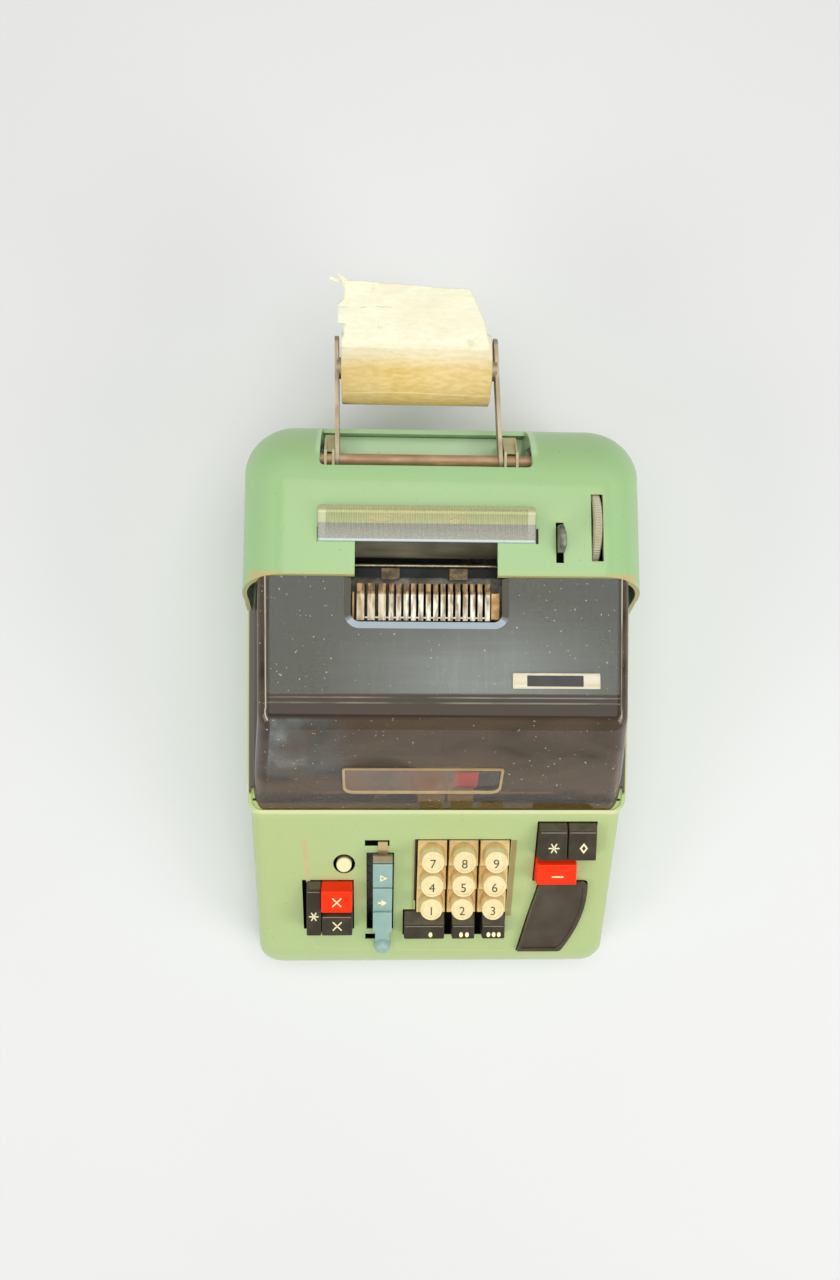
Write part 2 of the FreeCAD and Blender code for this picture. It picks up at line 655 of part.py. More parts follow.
def plus_outline(grow):
    """Outline (x, y) of the curved plus bar, its sides bowed outwards to the right."""
    rear, front = FRONT_Y + PLUS_REAR_AHEAD, FRONT_Y + PLUS_FRONT_AHEAD
    right = HALF_WIDTH - PLUS_MARGIN
    sides = []
    for step in range(PLUS_STEP_COUNT + 1):
        share = step / PLUS_STEP_COUNT
        y = rear + (front - rear) * share
        swell = math.sin(math.pi * share)
        width = PLUS_REAR_WIDTH + (PLUS_FRONT_WIDTH - PLUS_REAR_WIDTH) * share + PLUS_SPREAD * swell
        sides.append((right - PLUS_SWEEP * share ** 2 + PLUS_BOW * swell, width, y))
    sides[0] = (sides[0][0], sides[0][1], rear + grow)
    sides[-1] = (sides[-1][0], sides[-1][1], front - grow)
    edge = [(x + grow, y) for x, width, y in sides]
    return edge + [(x - width - grow, y) for x, width, y in reversed(sides)]


def plus_middle():
    """Place (x, y) of the plus bar's stem."""
    return (HALF_WIDTH - PLUS_MARGIN - (PLUS_REAR_WIDTH + PLUS_SWEEP) / 2,
            FRONT_Y + (PLUS_REAR_AHEAD + PLUS_FRONT_AHEAD) / 2)


def plus_prism(grow):
    """Upright prism over the plus bar's outline, its right corners rounded."""
    rear, front = FRONT_Y + PLUS_REAR_AHEAD + grow, FRONT_Y + PLUS_FRONT_AHEAD - grow
    middle_x = plus_middle()[0]
    prism = plan_prism(plus_outline(grow), 0, FAR)
    return round_edges(prism, PLUS_CORNER, lambda p, d: abs(d.z) > 0.9 and p.x > middle_x and
                       (p.y > rear - SLIGHT or p.y < front + SLIGHT))


def plus_bar():
    """Long curved add bar with a shallow hollow along its top."""
    bar = plus_prism(0.0)
    bar = bar.cut(deck_space(PLUS_LIFT))
    bar = bar.common(deck_space(-KEY_SKIRT))
    hollow = plus_prism(-PLUS_RIM).common(deck_space(PLUS_LIFT - PLUS_HOLLOW))
    return bar.cut(hollow).fuse(stem(*plus_middle())).removeSplitter()


def clear_button():
    y = FRONT_Y + CLEAR_AHEAD
    body = z_rod(CLEAR_RADIUS, CLEAR_X, y, deck_z(y) - KEY_SKIRT, deck_z(y) + CLEAR_LIFT)
    crown = [edge for edge in body.Edges if edge.BoundBox.ZMin > deck_z(y) + CLEAR_LIFT - SLIGHT]
    return body.makeFillet(CLEAR_ROUND, crown).fuse(stem(CLEAR_X, y)).removeSplitter()


def shift_places():
    """y ranges of the shift unit: triangle key, arrow key, front section."""
    rear = FRONT_Y + SHIFT_REAR_AHEAD - SHIFT_REAR_BLOCK
    triangle = (rear - SHIFT_KEY_DEPTH, rear)
    arrow = (triangle[0] - SHIFT_RIDGE - SHIFT_KEY_DEPTH, triangle[0] - SHIFT_RIDGE)
    section = (arrow[0] - SHIFT_RIDGE - SHIFT_FRONT_SECTION, arrow[0] - SHIFT_RIDGE)
    return triangle, arrow, section


def shift_opening():
    rear = FRONT_Y + SHIFT_REAR_AHEAD
    front = shift_places()[2][0]
    return (SHIFT_X - SHIFT_WIDTH / 2 - SHIFT_TRAVEL - SHIFT_OPENING_MARGIN,
            SHIFT_X + SHIFT_WIDTH / 2 + SHIFT_OPENING_MARGIN,
            front - OPENING_GAP, rear + OPENING_GAP)


def shift_slots():
    """The two narrow slots in the deck at the ends of the shift lever."""
    slots = []
    for ahead in (REAR_SLOT_AHEAD, FRONT_SLOT_AHEAD):
        y = FRONT_Y + ahead
        right = SHIFT_X + SHIFT_WIDTH / 2 - SLOT_RIGHT_INSET
        slots.append((right - SLOT_LENGTH, right, y - SLOT_DEPTH / 2, y + SLOT_DEPTH / 2))
    return slots


def deck_strip(x0, x1, y0, y1, low, high):
    """Plate between two heights above the deck's surface, ends upright."""
    points = [(y0, deck_z(y0) + low), (y1, deck_z(y1) + low),
              (y1, deck_z(y1) + high), (y0, deck_z(y0) + high)]
    return side_prism(points, x0, x1)


def shift_lever():
    """Sliding carrier with a front section, a ball grip and a tab at each slot."""
    triangle, arrow, section = shift_places()
    x0, x1 = SHIFT_X - SHIFT_WIDTH / 2, SHIFT_X + SHIFT_WIDTH / 2
    rear = FRONT_Y + SHIFT_REAR_AHEAD
    floor = SHIFT_LIFT - SHIFT_KEY_HEIGHT - SHIFT_KEY_TRAVEL
    root = floor - SHIFT_RAIL / 2
    ridge_top = SHIFT_LIFT - SHIFT_RIDGE_DROP
    rail = deck_strip(x0, x1, section[0], rear, floor - SHIFT_RAIL, floor)
    rear_block = deck_strip(x0, x1, triangle[1] + KEY_GAP, rear, root, SHIFT_LIFT - SHIFT_BLOCK_DROP)
    ridge = deck_strip(x0, x1, arrow[1] + KEY_GAP, triangle[0] - KEY_GAP, root, ridge_top)
    low_ridge = deck_strip(x0, x1, section[1], arrow[0] - KEY_GAP, root, ridge_top)
    front = deck_strip(x0, x1, section[0], section[1], root, SHIFT_LIFT)
    ball_y = FRONT_Y + SHIFT_BALL_AHEAD
    neck = deck_strip(x0 + SHIFT_NECK_INSET, x1 - SHIFT_NECK_INSET, ball_y, section[0] + SHIFT_NECK_INSET,
                      SHIFT_LIFT - SHIFT_PLATE, SHIFT_LIFT)
    ball_z = deck_z(ball_y) + SHIFT_LIFT - SHIFT_BALL_DROP
    ball = Part.makeSphere(SHIFT_BALL_RADIUS, Vector(SHIFT_X, ball_y, ball_z))
    tab_half, tongue_half = SHIFT_TAB_WIDTH / 2, SHIFT_TONGUE_WIDTH / 2
    slot_y = FRONT_Y + FRONT_SLOT_AHEAD
    tab = deck_strip(SHIFT_X - tab_half, SHIFT_X + tab_half, slot_y - SHIFT_TONGUE, slot_y + SHIFT_TONGUE,
                     -SHIFT_TAIL, SHIFT_LIFT - SHIFT_BALL_DROP)
    rear_slot = FRONT_Y + REAR_SLOT_AHEAD
    tongue_low, tongue_high = PARTING_GAP, PARTING_GAP + SHIFT_TONGUE
    tongue = deck_strip(SHIFT_X - tongue_half, SHIFT_X + tongue_half, rear - SHIFT_TONGUE,
                        rear_slot + SHIFT_TONGUE, tongue_low, tongue_high)
    hook = deck_strip(SHIFT_X - tongue_half, SHIFT_X + tongue_half, rear_slot, rear_slot + SHIFT_TONGUE,
                      -SHIFT_TAIL, tongue_high)
    unit = rail.fuse([rear_block, ridge, low_ridge, front, neck, ball, tab, tongue, hook])
    half_x = STEM_WIDTH / 2 + STEM_CLEARANCE
    half_y = STEM_DEPTH / 2 + STEM_CLEARANCE
    for y0, y1 in (triangle, arrow):
        middle = (y0 + y1) / 2
        unit = unit.cut(box(SHIFT_X - half_x, SHIFT_X + half_x, middle - half_y, middle + half_y,
                            0, deck_z(y1) + floor + SHIFT_RAIL))
    return unit.removeSplitter()


def shift_key(y0, y1):
    """Push key that rides in the shift lever."""
    x0, x1 = SHIFT_X - SHIFT_WIDTH / 2, SHIFT_X + SHIFT_WIDTH / 2
    floor = SHIFT_LIFT - SHIFT_KEY_HEIGHT + KEY_GAP
    cap = deck_strip(x0, x1, y0, y1, floor, SHIFT_LIFT)
    top = deck_z(y0) + SHIFT_LIFT - SHIFT_KEY_ROUND
    cap = round_edges(cap, SHIFT_KEY_ROUND, lambda p, d: abs(d.x) > 0.9 and p.z > top)
    middle = (y0 + y1) / 2
    post = box(SHIFT_X - STEM_WIDTH / 2, SHIFT_X + STEM_WIDTH / 2,
               middle - STEM_DEPTH / 2, middle + STEM_DEPTH / 2,
               deck_z(middle) + floor - SHIFT_POST, deck_z(middle) + floor + SHIFT_KEY_HEIGHT / 2)
    return cap.fuse(post).removeSplitter()


def cap_openings():
    """Openings cut through the deck: groups of caps, grown by the opening gap."""
    places = cap_places()
    rows, columns = pad_rows(), pad_columns()
    half_x, half_y = BLOCK_WIDTH / 2, BLOCK_DEPTH / 2
    zero = places["zero_key"]
    groups = [
        (columns[0] - half_x, columns[2] + half_x, zero[2], rows[0] + half_y),
        zero,
        (places["total_key"][0], places["subtotal_key"][1],
         places["total_key"][2], places["total_key"][3]),
        (*places["minus_key"][:3], places["total_key"][2]),
        (places["product_total_key"][0] - LEFT_KEYS_SPACE, places["times_key"][1],
         places["times_key"][2], places["product_total_key"][3]),
    ]
    g = OPENING_GAP
    openings = [box(x0 - g, x1 + g, y0 - g, y1 + g, 0, FAR) for x0, x1, y0, y1 in groups]
    openings += [box(*place, 0, FAR) for place in [shift_opening()] + shift_slots()]
    openings.append(z_rod(CLEAR_HOLE_RADIUS, CLEAR_X, FRONT_Y + CLEAR_AHEAD, 0, FAR))
    openings.append(plus_prism(OPENING_GAP))
    return openings


def boss_places():
    """Centres of the four screw bosses, on the side walls."""
    x = HALF_WIDTH - CASE_WALL - BOSS_SIZE / 2
    ys = (FRONT_Y + BOSS_FRONT_INSET, REAR_Y - BOSS_REAR_INSET)
    return [(sx * x, y) for y in ys for sx in (-1, 1)]


def inlet_hole(grow):
    return box(INLET_X - INLET_WIDTH / 2 - grow, INLET_X + INLET_WIDTH / 2 + grow,
               REAR_Y - INLET_DEPTH, REAR_Y + CASE_WALL, INLET_Z - grow, INLET_Z + INLET_HEIGHT + grow)


def rim_corner(grow):
    """Plan of the raised rim around the hood, front corners rounded."""
    return rounded_plan(HALF_WIDTH - grow, HOOD_FOOT_Y - LIP_WIDTH + grow, REAR_Y - grow,
                        HOOD_SIDE_ROUND - grow, REAR_CORNER_RADIUS - grow, FOOT_HEIGHT, BASE_RIM_HEIGHT)


def base_shell():
    """Green lower casing: keyboard deck, low front, side walls and rear wall."""
    under_rim = half_space(-FAR, FAR, FOOT_HEIGHT, BASE_RIM_HEIGHT)
    outer = deck_block(0.0).common(under_rim).fuse(rim_corner(0.0).cut(deck_space(LIP_HEIGHT)))
    inner_half, inner_rear = HALF_WIDTH - CASE_WALL, REAR_Y - CASE_WALL
    inner_corner = REAR_CORNER_RADIUS - CASE_WALL
    foot_ledge = HOOD_FOOT_Y + FOOT_LEDGE
    hollow = deck_block(CASE_WALL).common(half_space(-FAR, foot_ledge, 0, BASE_RIM_HEIGHT))
    shaft = rounded_plan(inner_half, foot_ledge - SHAFT_LAP, inner_rear, SQUARE_CORNER, inner_corner, 0, FAR)
    hood_seat = rim_corner(LIP_WIDTH).common(deck_space(0.0))
    shell = outer.cut([hollow, shaft, hood_seat])
    ledge = rounded_plan(inner_half + LEDGE_ROOT, foot_ledge - SHAFT_LAP, inner_rear + LEDGE_ROOT, SQUARE_CORNER,
                         inner_corner, BASE_RIM_HEIGHT - INNER_LEDGE_HEIGHT, BASE_RIM_HEIGHT - INNER_LEDGE_GAP)
    ledge = ledge.cut(rounded_plan(inner_half - INNER_LEDGE, foot_ledge - SHAFT_LAP - INNER_LEDGE,
                                   inner_rear - INNER_LEDGE, SQUARE_CORNER, inner_corner - INNER_LEDGE, 0, FAR))
    ledge = ledge.cut([half_space(REAR_Y - COVER_TOP_IN, FAR, 0, FAR), deck_space(0.0)])
    bosses = []
    for x, y in boss_places():
        x0 = x - BOSS_SIZE / 2 - (CASE_WALL / 2 if x < 0 else 0)
        bosses.append(box(x0, x0 + BOSS_SIZE + CASE_WALL / 2, y - BOSS_SIZE / 2, y + BOSS_SIZE / 2,
                          PLATE_TOP, PLATE_TOP + BOSS_HEIGHT))
    holes = [z_rod(SCREW_RADIUS + SHAFT_CLEARANCE, x, y, 0, PLATE_TOP + SCREW_LENGTH)
             for x, y in boss_places()]
    shell = shell.fuse([ledge] + bosses).cut(cap_openings() + holes + [inlet_hole(PARTING_GAP)])
    return shell.removeSplitter()


def cover_front(offset):
    """Everything in front of the cover's leaning front edge, moved back by offset."""
    y_top, y_foot = REAR_Y - COVER_TOP_IN, REAR_Y - COVER_FOOT_IN
    z_top, z_foot = cover_z(y_top), BASE_RIM_HEIGHT
    lean = (y_top - y_foot) / (z_top - z_foot)
    points = [(-FAR, 0), (y_foot - lean * z_foot + offset, 0),
              (y_foot + lean * (FAR - z_foot) + offset, FAR), (-FAR, FAR)]
    return side_prism(points, -FAR, FAR)


def slot_in_cover(x, width, y0, y1):
    """Cut right through the cover's top, centred on x."""
    return box(x - width / 2, x + width / 2, y0, y1, PLATEN_HEIGHT, FAR)


def recess_block(grow, bottom):
    """Space of the recess for the paper roll, open at the rear and above."""
    block = box(RECESS_LEFT - grow, RECESS_RIGHT + grow, REAR_Y - RECESS_FRONT_IN - grow, FAR, bottom, FAR)
    return round_edges(block, RECESS_CORNER + grow, lambda p, d: abs(d.z) > 0.9 and p.y < REAR_Y)


def rod_openings():
    """Openings in the recess's end walls, closed above by the cover's skin."""
    openings = []
    for x0 in (RECESS_LEFT - 2 * CASE_WALL, RECESS_RIGHT - CASE_WALL):
        openings.append(box(x0, x0 + 3 * CASE_WALL, ROD_Y - ROD_OPENING_FRONT, ROD_Y + ROD_OPENING_REAR,
                            ROD_HEIGHT - ROD_OPENING_DROP, ROD_HEIGHT + ROD_OPENING_RISE))
    inside = cover_block(CASE_WALL)
    return [opening.common(inside) for opening in openings]


def rear_cover():
    """Green top cover over the printer, with the open recess for the paper roll."""
    floor = BASE_RIM_HEIGHT + PARTING_GAP
    cover = cover_block(0.0).cut([cover_block(CASE_WALL), half_space(-FAR, FAR, -FAR, floor), cover_front(0.0)])
    rear_inner = REAR_Y - CASE_WALL - PARTING_GAP
    tub = recess_block(CASE_WALL, RECESS_FLOOR - CASE_WALL).cut(recess_block(0.0, RECESS_FLOOR))
    tub = tub.common(cover_block(RECESS_SKIN).cut(half_space(rear_inner, FAR, 0, floor)))
    cover = cover.cut(recess_block(0.0, 0.0)).fuse(tub)
    recess_front = REAR_Y - RECESS_FRONT_IN
    slot_z = ROD_HEIGHT - PAPER_SLOT_DROP
    paper_slot = box(ARM_LEFT_X, ARM_RIGHT_X, recess_front - 2 * CASE_WALL, recess_front + CASE_WALL,
                     slot_z, slot_z + PAPER_SLOT_HEIGHT)
    print_window = box(PRINT_WINDOW_LEFT, PRINT_WINDOW_RIGHT, FRONT_Y, REAR_Y - PRINT_WINDOW_REAR_IN,
                       PLATEN_HEIGHT, FAR)
    lever_front = REAR_Y - LEVER_SLOT_FRONT_IN
    lever_slot = slot_in_cover(LEVER_SLOT_X, LEVER_SLOT_WIDTH, lever_front, lever_front + LEVER_SLOT_LENGTH)
    wheel_slot = slot_in_cover(WHEEL_SLOT_X, WHEEL_SLOT_WIDTH, PLATEN_Y - WHEEL_SLOT_LENGTH / 2,
                               PLATEN_Y + WHEEL_SLOT_LENGTH / 2)
    return cover.cut(rod_openings() + [paper_slot, print_window, lever_slot, wheel_slot]).removeSplitter()


def hood_block(inset):
    """Solid inside the hood's outer (inset 0) or inner faces, open at foot and rear."""
    foot_z = deck_z(HOOD_FOOT_Y) + PARTING_GAP
    face_drop = inset / math.cos(FACE_LEAN)
    top_drop = inset / math.cos(COVER_LEAN)
    brow_y = (hood_z(0) - top_drop - foot_z + face_drop + FACE_RISE * HOOD_FOOT_Y) / (FACE_RISE + COVER_FALL)
    brow_z = hood_z(brow_y) - top_drop
    low_y = HOOD_FOOT_Y - foot_z / FACE_RISE
    outline = [(low_y, -face_drop), (REAR_Y, -face_drop), (REAR_Y, hood_z(REAR_Y) - top_drop), (brow_y, brow_z)]
    block = side_prism(outline, -FAR, FAR)
    draft = math.radians(HOOD_DRAFT)
    half = HOOD_FOOT_HALF_WIDTH - inset / math.cos(draft)
    for side in (-1, 1):
        wedge = [Vector(side * (half - math.tan(draft) * (z - foot_z)), -FAR, z) for z in (-FAR, FAR)]
        out = [Vector(side * 2 * FAR, -FAR, z) for z in (FAR, -FAR)]
        face = Part.Face(Part.makePolygon(wedge + out + wedge[:1]))
        block = block.cut(face.extrude(Vector(0, 2 * FAR, 0)))
    brow = max(HOOD_BROW_ROUND - inset, 1.0)
    side_round = max(HOOD_SIDE_ROUND - inset, 1.0)
    block = round_edges(block, brow, lambda p, d: abs(d.x) > 0.9 and p.z > brow_z - 1)
    return round_edges(block, side_round, lambda p, d: abs(d.x) < 0.9 and abs(p.x) > HALF_WIDTH / 2 and
                       p.z > foot_z / 2 and abs(p.y - REAR_Y) > 1)


def face_frame(distance, depth):
    """Point on the hood's sloping face: distance up from the foot, depth into the hood."""
    y = HOOD_FOOT_Y + distance * math.cos(FACE_LEAN) + depth * math.sin(FACE_LEAN)
    z = deck_z(HOOD_FOOT_Y) + PARTING_GAP + distance * math.sin(FACE_LEAN) - depth * math.cos(FACE_LEAN)
    return y, z


def lens_block(grow, proud, depth):
    """Slab across the hood's face, its two lower corners rounded."""
    low, high = LENS_FOOT - grow, LENS_FOOT + LENS_HEIGHT + grow
    corners = [face_frame(distance, into_hood) for distance, into_hood in
               ((low, depth), (high, depth), (high, -proud), (low, -proud))]
    block = side_prism(corners, LENS_LEFT - grow, LENS_RIGHT + grow)
    middle = face_frame(LENS_FOOT + LENS_HEIGHT / 2, (depth - proud) / 2)[1]
    into = Vector(0, math.sin(FACE_LEAN), -math.cos(FACE_LEAN))
    return round_edges(block, LENS_CORNER + grow, lambda p, d: abs(d.dot(into)) > 0.9 and p.z < middle)


def window_outline(grow, lift):
    """Closed outline of the type window, level with the hood's top raised by lift."""
    left, right = TYPE_WINDOW_LEFT - grow, TYPE_WINDOW_RIGHT + grow
    front = REAR_Y - TYPE_WINDOW_FRONT_IN - grow
    radius = TYPE_WINDOW_CORNER + grow
    quarter = radius * (1 - math.cos(math.pi / 4))

    def at(x, y):
        return Vector(x, y, hood_z(y) + lift)

    return Part.Wire([
        Part.makeLine(at(left, REAR_Y), at(left, front + radius)),
        Part.Arc(at(left, front + radius), at(left + quarter, front + quarter),
                 at(left + radius, front)).toShape(),
        Part.makeLine(at(left + radius, front), at(right - radius, front)),
        Part.Arc(at(right - radius, front), at(right - quarter, front + quarter),
                 at(right, front + radius)).toShape(),
        Part.makeLine(at(right, front + radius), at(right, REAR_Y)),
        Part.makeLine(at(right, REAR_Y), at(left, REAR_Y)),
    ])


def type_window():
    """Window over the type bars, with a sloping rim that opens upwards."""
    depth = TYPE_WINDOW_BEVEL_DEPTH
    rim = Part.makeLoft([window_outline(0.0, -depth), window_outline(2 * TYPE_WINDOW_BEVEL, depth)],
                        True, True)
    well = Part.Face(window_outline(0.0, depth)).extrude(Vector(0, 0, -3 * HOOD_WALL))
    return rim.fuse(well)


def smoked_hood():
    """Dark translucent hood over the counting works and the type bars."""
    hood = hood_block(0.0).cut(hood_block(HOOD_WALL))
    rim = BASE_RIM_HEIGHT + PARTING_GAP
    under_deck = half_space(-FAR, FAR, -FAR, rim).cut(deck_space(PARTING_GAP))
    on_rim_from = HOOD_FOOT_Y + (BASE_RIM_HEIGHT - HOOD_FOOT_HEIGHT) / DECK_RISE
    hood = hood.common(half_space(-FAR, REAR_Y, 0, FAR)).common(cover_front(-PARTING_GAP))
    hood = hood.cut([under_deck, half_space(on_rim_from, FAR, -FAR, rim)])
    opening = lens_block(LENS_CLEARANCE, LENS_LEAD, LENS_LEAD)
    return hood.cut([type_window(), opening]).removeSplitter()


def magnifier_window():
    return lens_block(0.0, LENS_PROUD, LENS_THICKNESS - LENS_PROUD)


def on_hood_top(x0, x1, y0, y1, low, high):
    points = [(y0, hood_z(y0) + low), (y1, hood_z(y1) + low), (y1, hood_z(y1) + high), (y0, hood_z(y0) + high)]
    return side_prism(points, x0, x1)


def name_plate():
    y = REAR_Y - PLATE_FRONT_IN
    return on_hood_top(PLATE_LEFT, PLATE_LEFT + PLATE_WIDTH, y, y + PLATE_DEPTH, 0, PLATE_THICKNESS)


def tear_bar():
    """Clear tear bar: a wedge whose rear edge stands up behind the platen."""
    y0 = REAR_Y - TEAR_BAR_FRONT_IN
    y1 = y0 + TEAR_BAR_DEPTH
    crest = y1 - TEAR_BAR_CREST
    points = [(y0, cover_z(y0)), (y1, cover_z(y1)), (y1, cover_z(y1) + TEAR_BAR_HEIGHT - TEAR_BAR_REAR_DROP),
              (crest, cover_z(crest) + TEAR_BAR_HEIGHT), (y0, cover_z(y0) + TEAR_BAR_FRONT_HEIGHT)]
    return side_prism(points, TEAR_BAR_LEFT, TEAR_BAR_RIGHT)


def base_plate():
    half = HALF_WIDTH - CASE_WALL - PARTING_GAP
    plate = rounded_plan(half, FRONT_Y + HALF_WIDTH - half, REAR_Y - HALF_WIDTH + half,
                         FRONT_CORNER_RADIUS - CASE_WALL, REAR_CORNER_RADIUS - CASE_WALL,
                         PLATE_BOTTOM, PLATE_TOP)
    return plate.cut([z_rod(SCREW_RADIUS + SHAFT_CLEARANCE, x, y, 0, FAR) for x, y in boss_places()])


def case_screws():
    screws = []
    head_z = PLATE_BOTTOM - SCREW_HEAD_HEIGHT
    for x, y in boss_places():
        head = z_rod(SCREW_HEAD_RADIUS, x, y, head_z, PLATE_BOTTOM)
        shank = z_rod(SCREW_RADIUS, x, y, PLATE_BOTTOM, PLATE_BOTTOM + SCREW_LENGTH)
        slot = box(x - SCREW_HEAD_RADIUS, x + SCREW_HEAD_RADIUS, y - SCREW_SLOT / 2, y + SCREW_SLOT / 2,
                   0, head_z + SCREW_SLOT)
        screws.append(head.fuse(shank).cut(slot).removeSplitter())
    return Part.makeCompound(screws)


def rubber_feet():
    x = HALF_WIDTH - FOOT_INSET
    feet = []
    for y in (FRONT_Y + FOOT_INSET, REAR_Y - FOOT_INSET):
        for side in (-1, 1):
            foot = z_rod(FOOT_RADIUS, side * x, y, 0, PLATE_BOTTOM)
            rim = [edge for edge in foot.Edges if edge.BoundBox.ZMax < SLIGHT]
            feet.append(foot.makeFillet(FOOT_ROUND, rim))
    return Part.makeCompound(feet)


def frame_outline():
    """Side frame's outline (y, z): follows the hood's face, the cover and the recess."""
    top = BASE_RIM_HEIGHT + FRAME_RISE
    front = HOOD_FOOT_Y + FRAME_BEHIND_FOOT
    return [(front, PLATE_TOP), (front, HOOD_FOOT_HEIGHT - FRAME_BEHIND_FOOT),
            (front + FRAME_FACE_STEP, HOOD_FOOT_HEIGHT + FRAME_MARGIN_TOP),
            (front + 2 * FRAME_FACE_STEP, top), (PLATEN_Y - 2 * FRAME_NECK, top),
            (PLATEN_Y - FRAME_NECK, PLATEN_HEIGHT + FRAME_NECK),
            (ROD_Y - ROD_RADIUS, ROD_HEIGHT + 2 * ROD_RADIUS),
            (ROD_Y + 2 * ROD_RADIUS, ROD_HEIGHT), (ROD_Y + 2 * ROD_RADIUS, PLATE_TOP)]


def frame_bores():
    """(y, z, radius) of every shaft that turns in both side frames."""
    return [(PLATEN_Y, PLATEN_HEIGHT, SHAFT_RADIUS), (ROD_Y, ROD_HEIGHT, ROD_RADIUS),
            (DRIVE_Y, DRIVE_HEIGHT, DRIVE_RADIUS), (REAR_Y - REGISTER_IN, REGISTER_HEIGHT, RAIL_RADIUS)]


def side_frame(x):
    plate = side_prism(frame_outline(), x - FRAME_THICKNESS / 2, x + FRAME_THICKNESS / 2)
    return plate.cut([x_rod(r + SHAFT_CLEARANCE, -FAR, FAR, y, z) for y, z, r in frame_bores()])


def cross_rods():
    """Equal rods between the side frames: five spacers and the carriage's two rails."""
    low = PLATE_TOP + TIE_LIFT
    places = [(HOOD_FOOT_Y + TIE_FROM_FOOT, low), (HOOD_FOOT_Y + 3 * TIE_FROM_FOOT, low),
              (ROD_Y - 2 * RAIL_RADIUS, low), (ROD_Y - 6 * RAIL_RADIUS, RECESS_FLOOR - TIE_UNDER_RECESS),
              (PLATEN_Y - TIE_LIFT, PLATEN_HEIGHT - PLATEN_RADIUS - TIE_UNDER_PLATEN)]
    places += [(y, RAIL_HEIGHT) for y in rail_places()]
    return Part.makeCompound([x_rod(RAIL_RADIUS, FRAME_INNER_LEFT, FRAME_INNER_RIGHT, y, z) for y, z in places])


def keyboard_frame():
    """Slotted plate under the deck that guides the key stems, on four legs."""
    x0, x1 = -HALF_WIDTH + KEY_FRAME_LEFT_INSET, HALF_WIDTH - KEY_FRAME_RIGHT_INSET
    y0, y1 = FRONT_Y + KEY_FRAME_FRONT_INSET, HOOD_FOOT_Y + KEY_FRAME_PAST_FOOT
    plate = deck_strip(x0, x1, y0, y1, -FRAME_DEPTH_UNDER_DECK - FRAME_PLATE, -FRAME_DEPTH_UNDER_DECK)
    legs = []
    for y in (y0 + 3 * FRAME_LEG, y1 - 2 * FRAME_LEG):
        top = deck_z(y) - FRAME_DEPTH_UNDER_DECK - FRAME_PLATE / 2
        for x in (x0, x1 - FRAME_LEG):
            legs.append(box(x, x + FRAME_LEG, y, y + FRAME_LEG, PLATE_TOP, top))
    half_x = STEM_WIDTH / 2 + STEM_CLEARANCE
    half_y = STEM_DEPTH / 2 + STEM_CLEARANCE
    slots = [box(x - half_x, x + half_x, y - half_y, y + half_y, 0, FAR) for x, y in stem_places()]
    slots.append(box(*shift_opening(), 0, FAR))
    return plate.fuse(legs).cut(slots).removeSplitter()


def stem_places():
    places = [(x, y) for x in pad_columns() for y in pad_rows()]
    places += [((x0 + x1) / 2, (y0 + y1) / 2) for x0, x1, y0, y1 in cap_places().values()]
    return places + [(CLEAR_X, FRONT_Y + CLEAR_AHEAD), plus_middle()]


def type_bar_places():
    """(x, width) of every type bar: a few wide ones, then the narrow ones."""
    wide = [(TYPE_BAR_LEFT_X + i * TYPE_WIDE_PITCH, TYPE_WIDE_WIDTH) for i in range(TYPE_WIDE_COUNT)]
    first = wide[-1][0] + (TYPE_WIDE_PITCH + TYPE_BAR_PITCH) / 2
    return wide + [(first + i * TYPE_BAR_PITCH, TYPE_BAR_WIDTH) for i in range(TYPE_BAR_COUNT)]


def bail_rod_place():
    return REAR_Y - TYPE_BAR_FRONT_IN + TYPE_BAR_DEPTH / 2, TYPE_BAR_TOP - BAIL_ROD_DROP


def type_bars():
    """Bank of type bars, threaded on one rod."""
    y0 = REAR_Y - TYPE_BAR_FRONT_IN
    y1 = y0 + TYPE_BAR_DEPTH
    rod_y, rod_z = bail_rod_place()
    bars = []
    for x, width in type_bar_places():
        bar = box(x - width / 2, x + width / 2, y0, y1, TYPE_BAR_BOTTOM, TYPE_BAR_TOP)
        step = box(x - width, x + width, y1 - TYPE_STEP_DEPTH, y1 + 1, TYPE_BAR_TOP - TYPE_STEP_DROP, FAR)
        hole = x_rod(BAIL_ROD_RADIUS + SHAFT_CLEARANCE, x - width, x + width, rod_y, rod_z)
        bars.append(bar.cut([step, hole]))
    left = type_bar_places()[0][0] - TYPE_ROD_END
    right = type_bar_places()[-1][0] + TYPE_ROD_END
    return Part.makeCompound(bars + [x_rod(BAIL_ROD_RADIUS, left, right, rod_y, rod_z)])


def type_guide_comb():
    """Slotted bridge between the side frames in which the type bars slide."""
    y0 = REAR_Y - TYPE_BAR_FRONT_IN
    y1 = y0 + TYPE_BAR_DEPTH
    bridge = box(FRAME_INNER_LEFT, FRAME_INNER_RIGHT, y0 - COMB_MARGIN, y1 + COMB_MARGIN,
                 COMB_HEIGHT - COMB_THICKNESS, COMB_HEIGHT)
    gap = STEM_CLEARANCE
    slots = [box(x - width / 2 - gap, x + width / 2 + gap, y0 - gap, y1 + gap, 0, FAR)
             for x, width in type_bar_places()]
    return bridge.cut(slots)


def spool_places():
    y = REAR_Y - SPOOL_IN
    return [(SPOOL_LEFT_X, y), (SPOOL_RIGHT_X, y)]


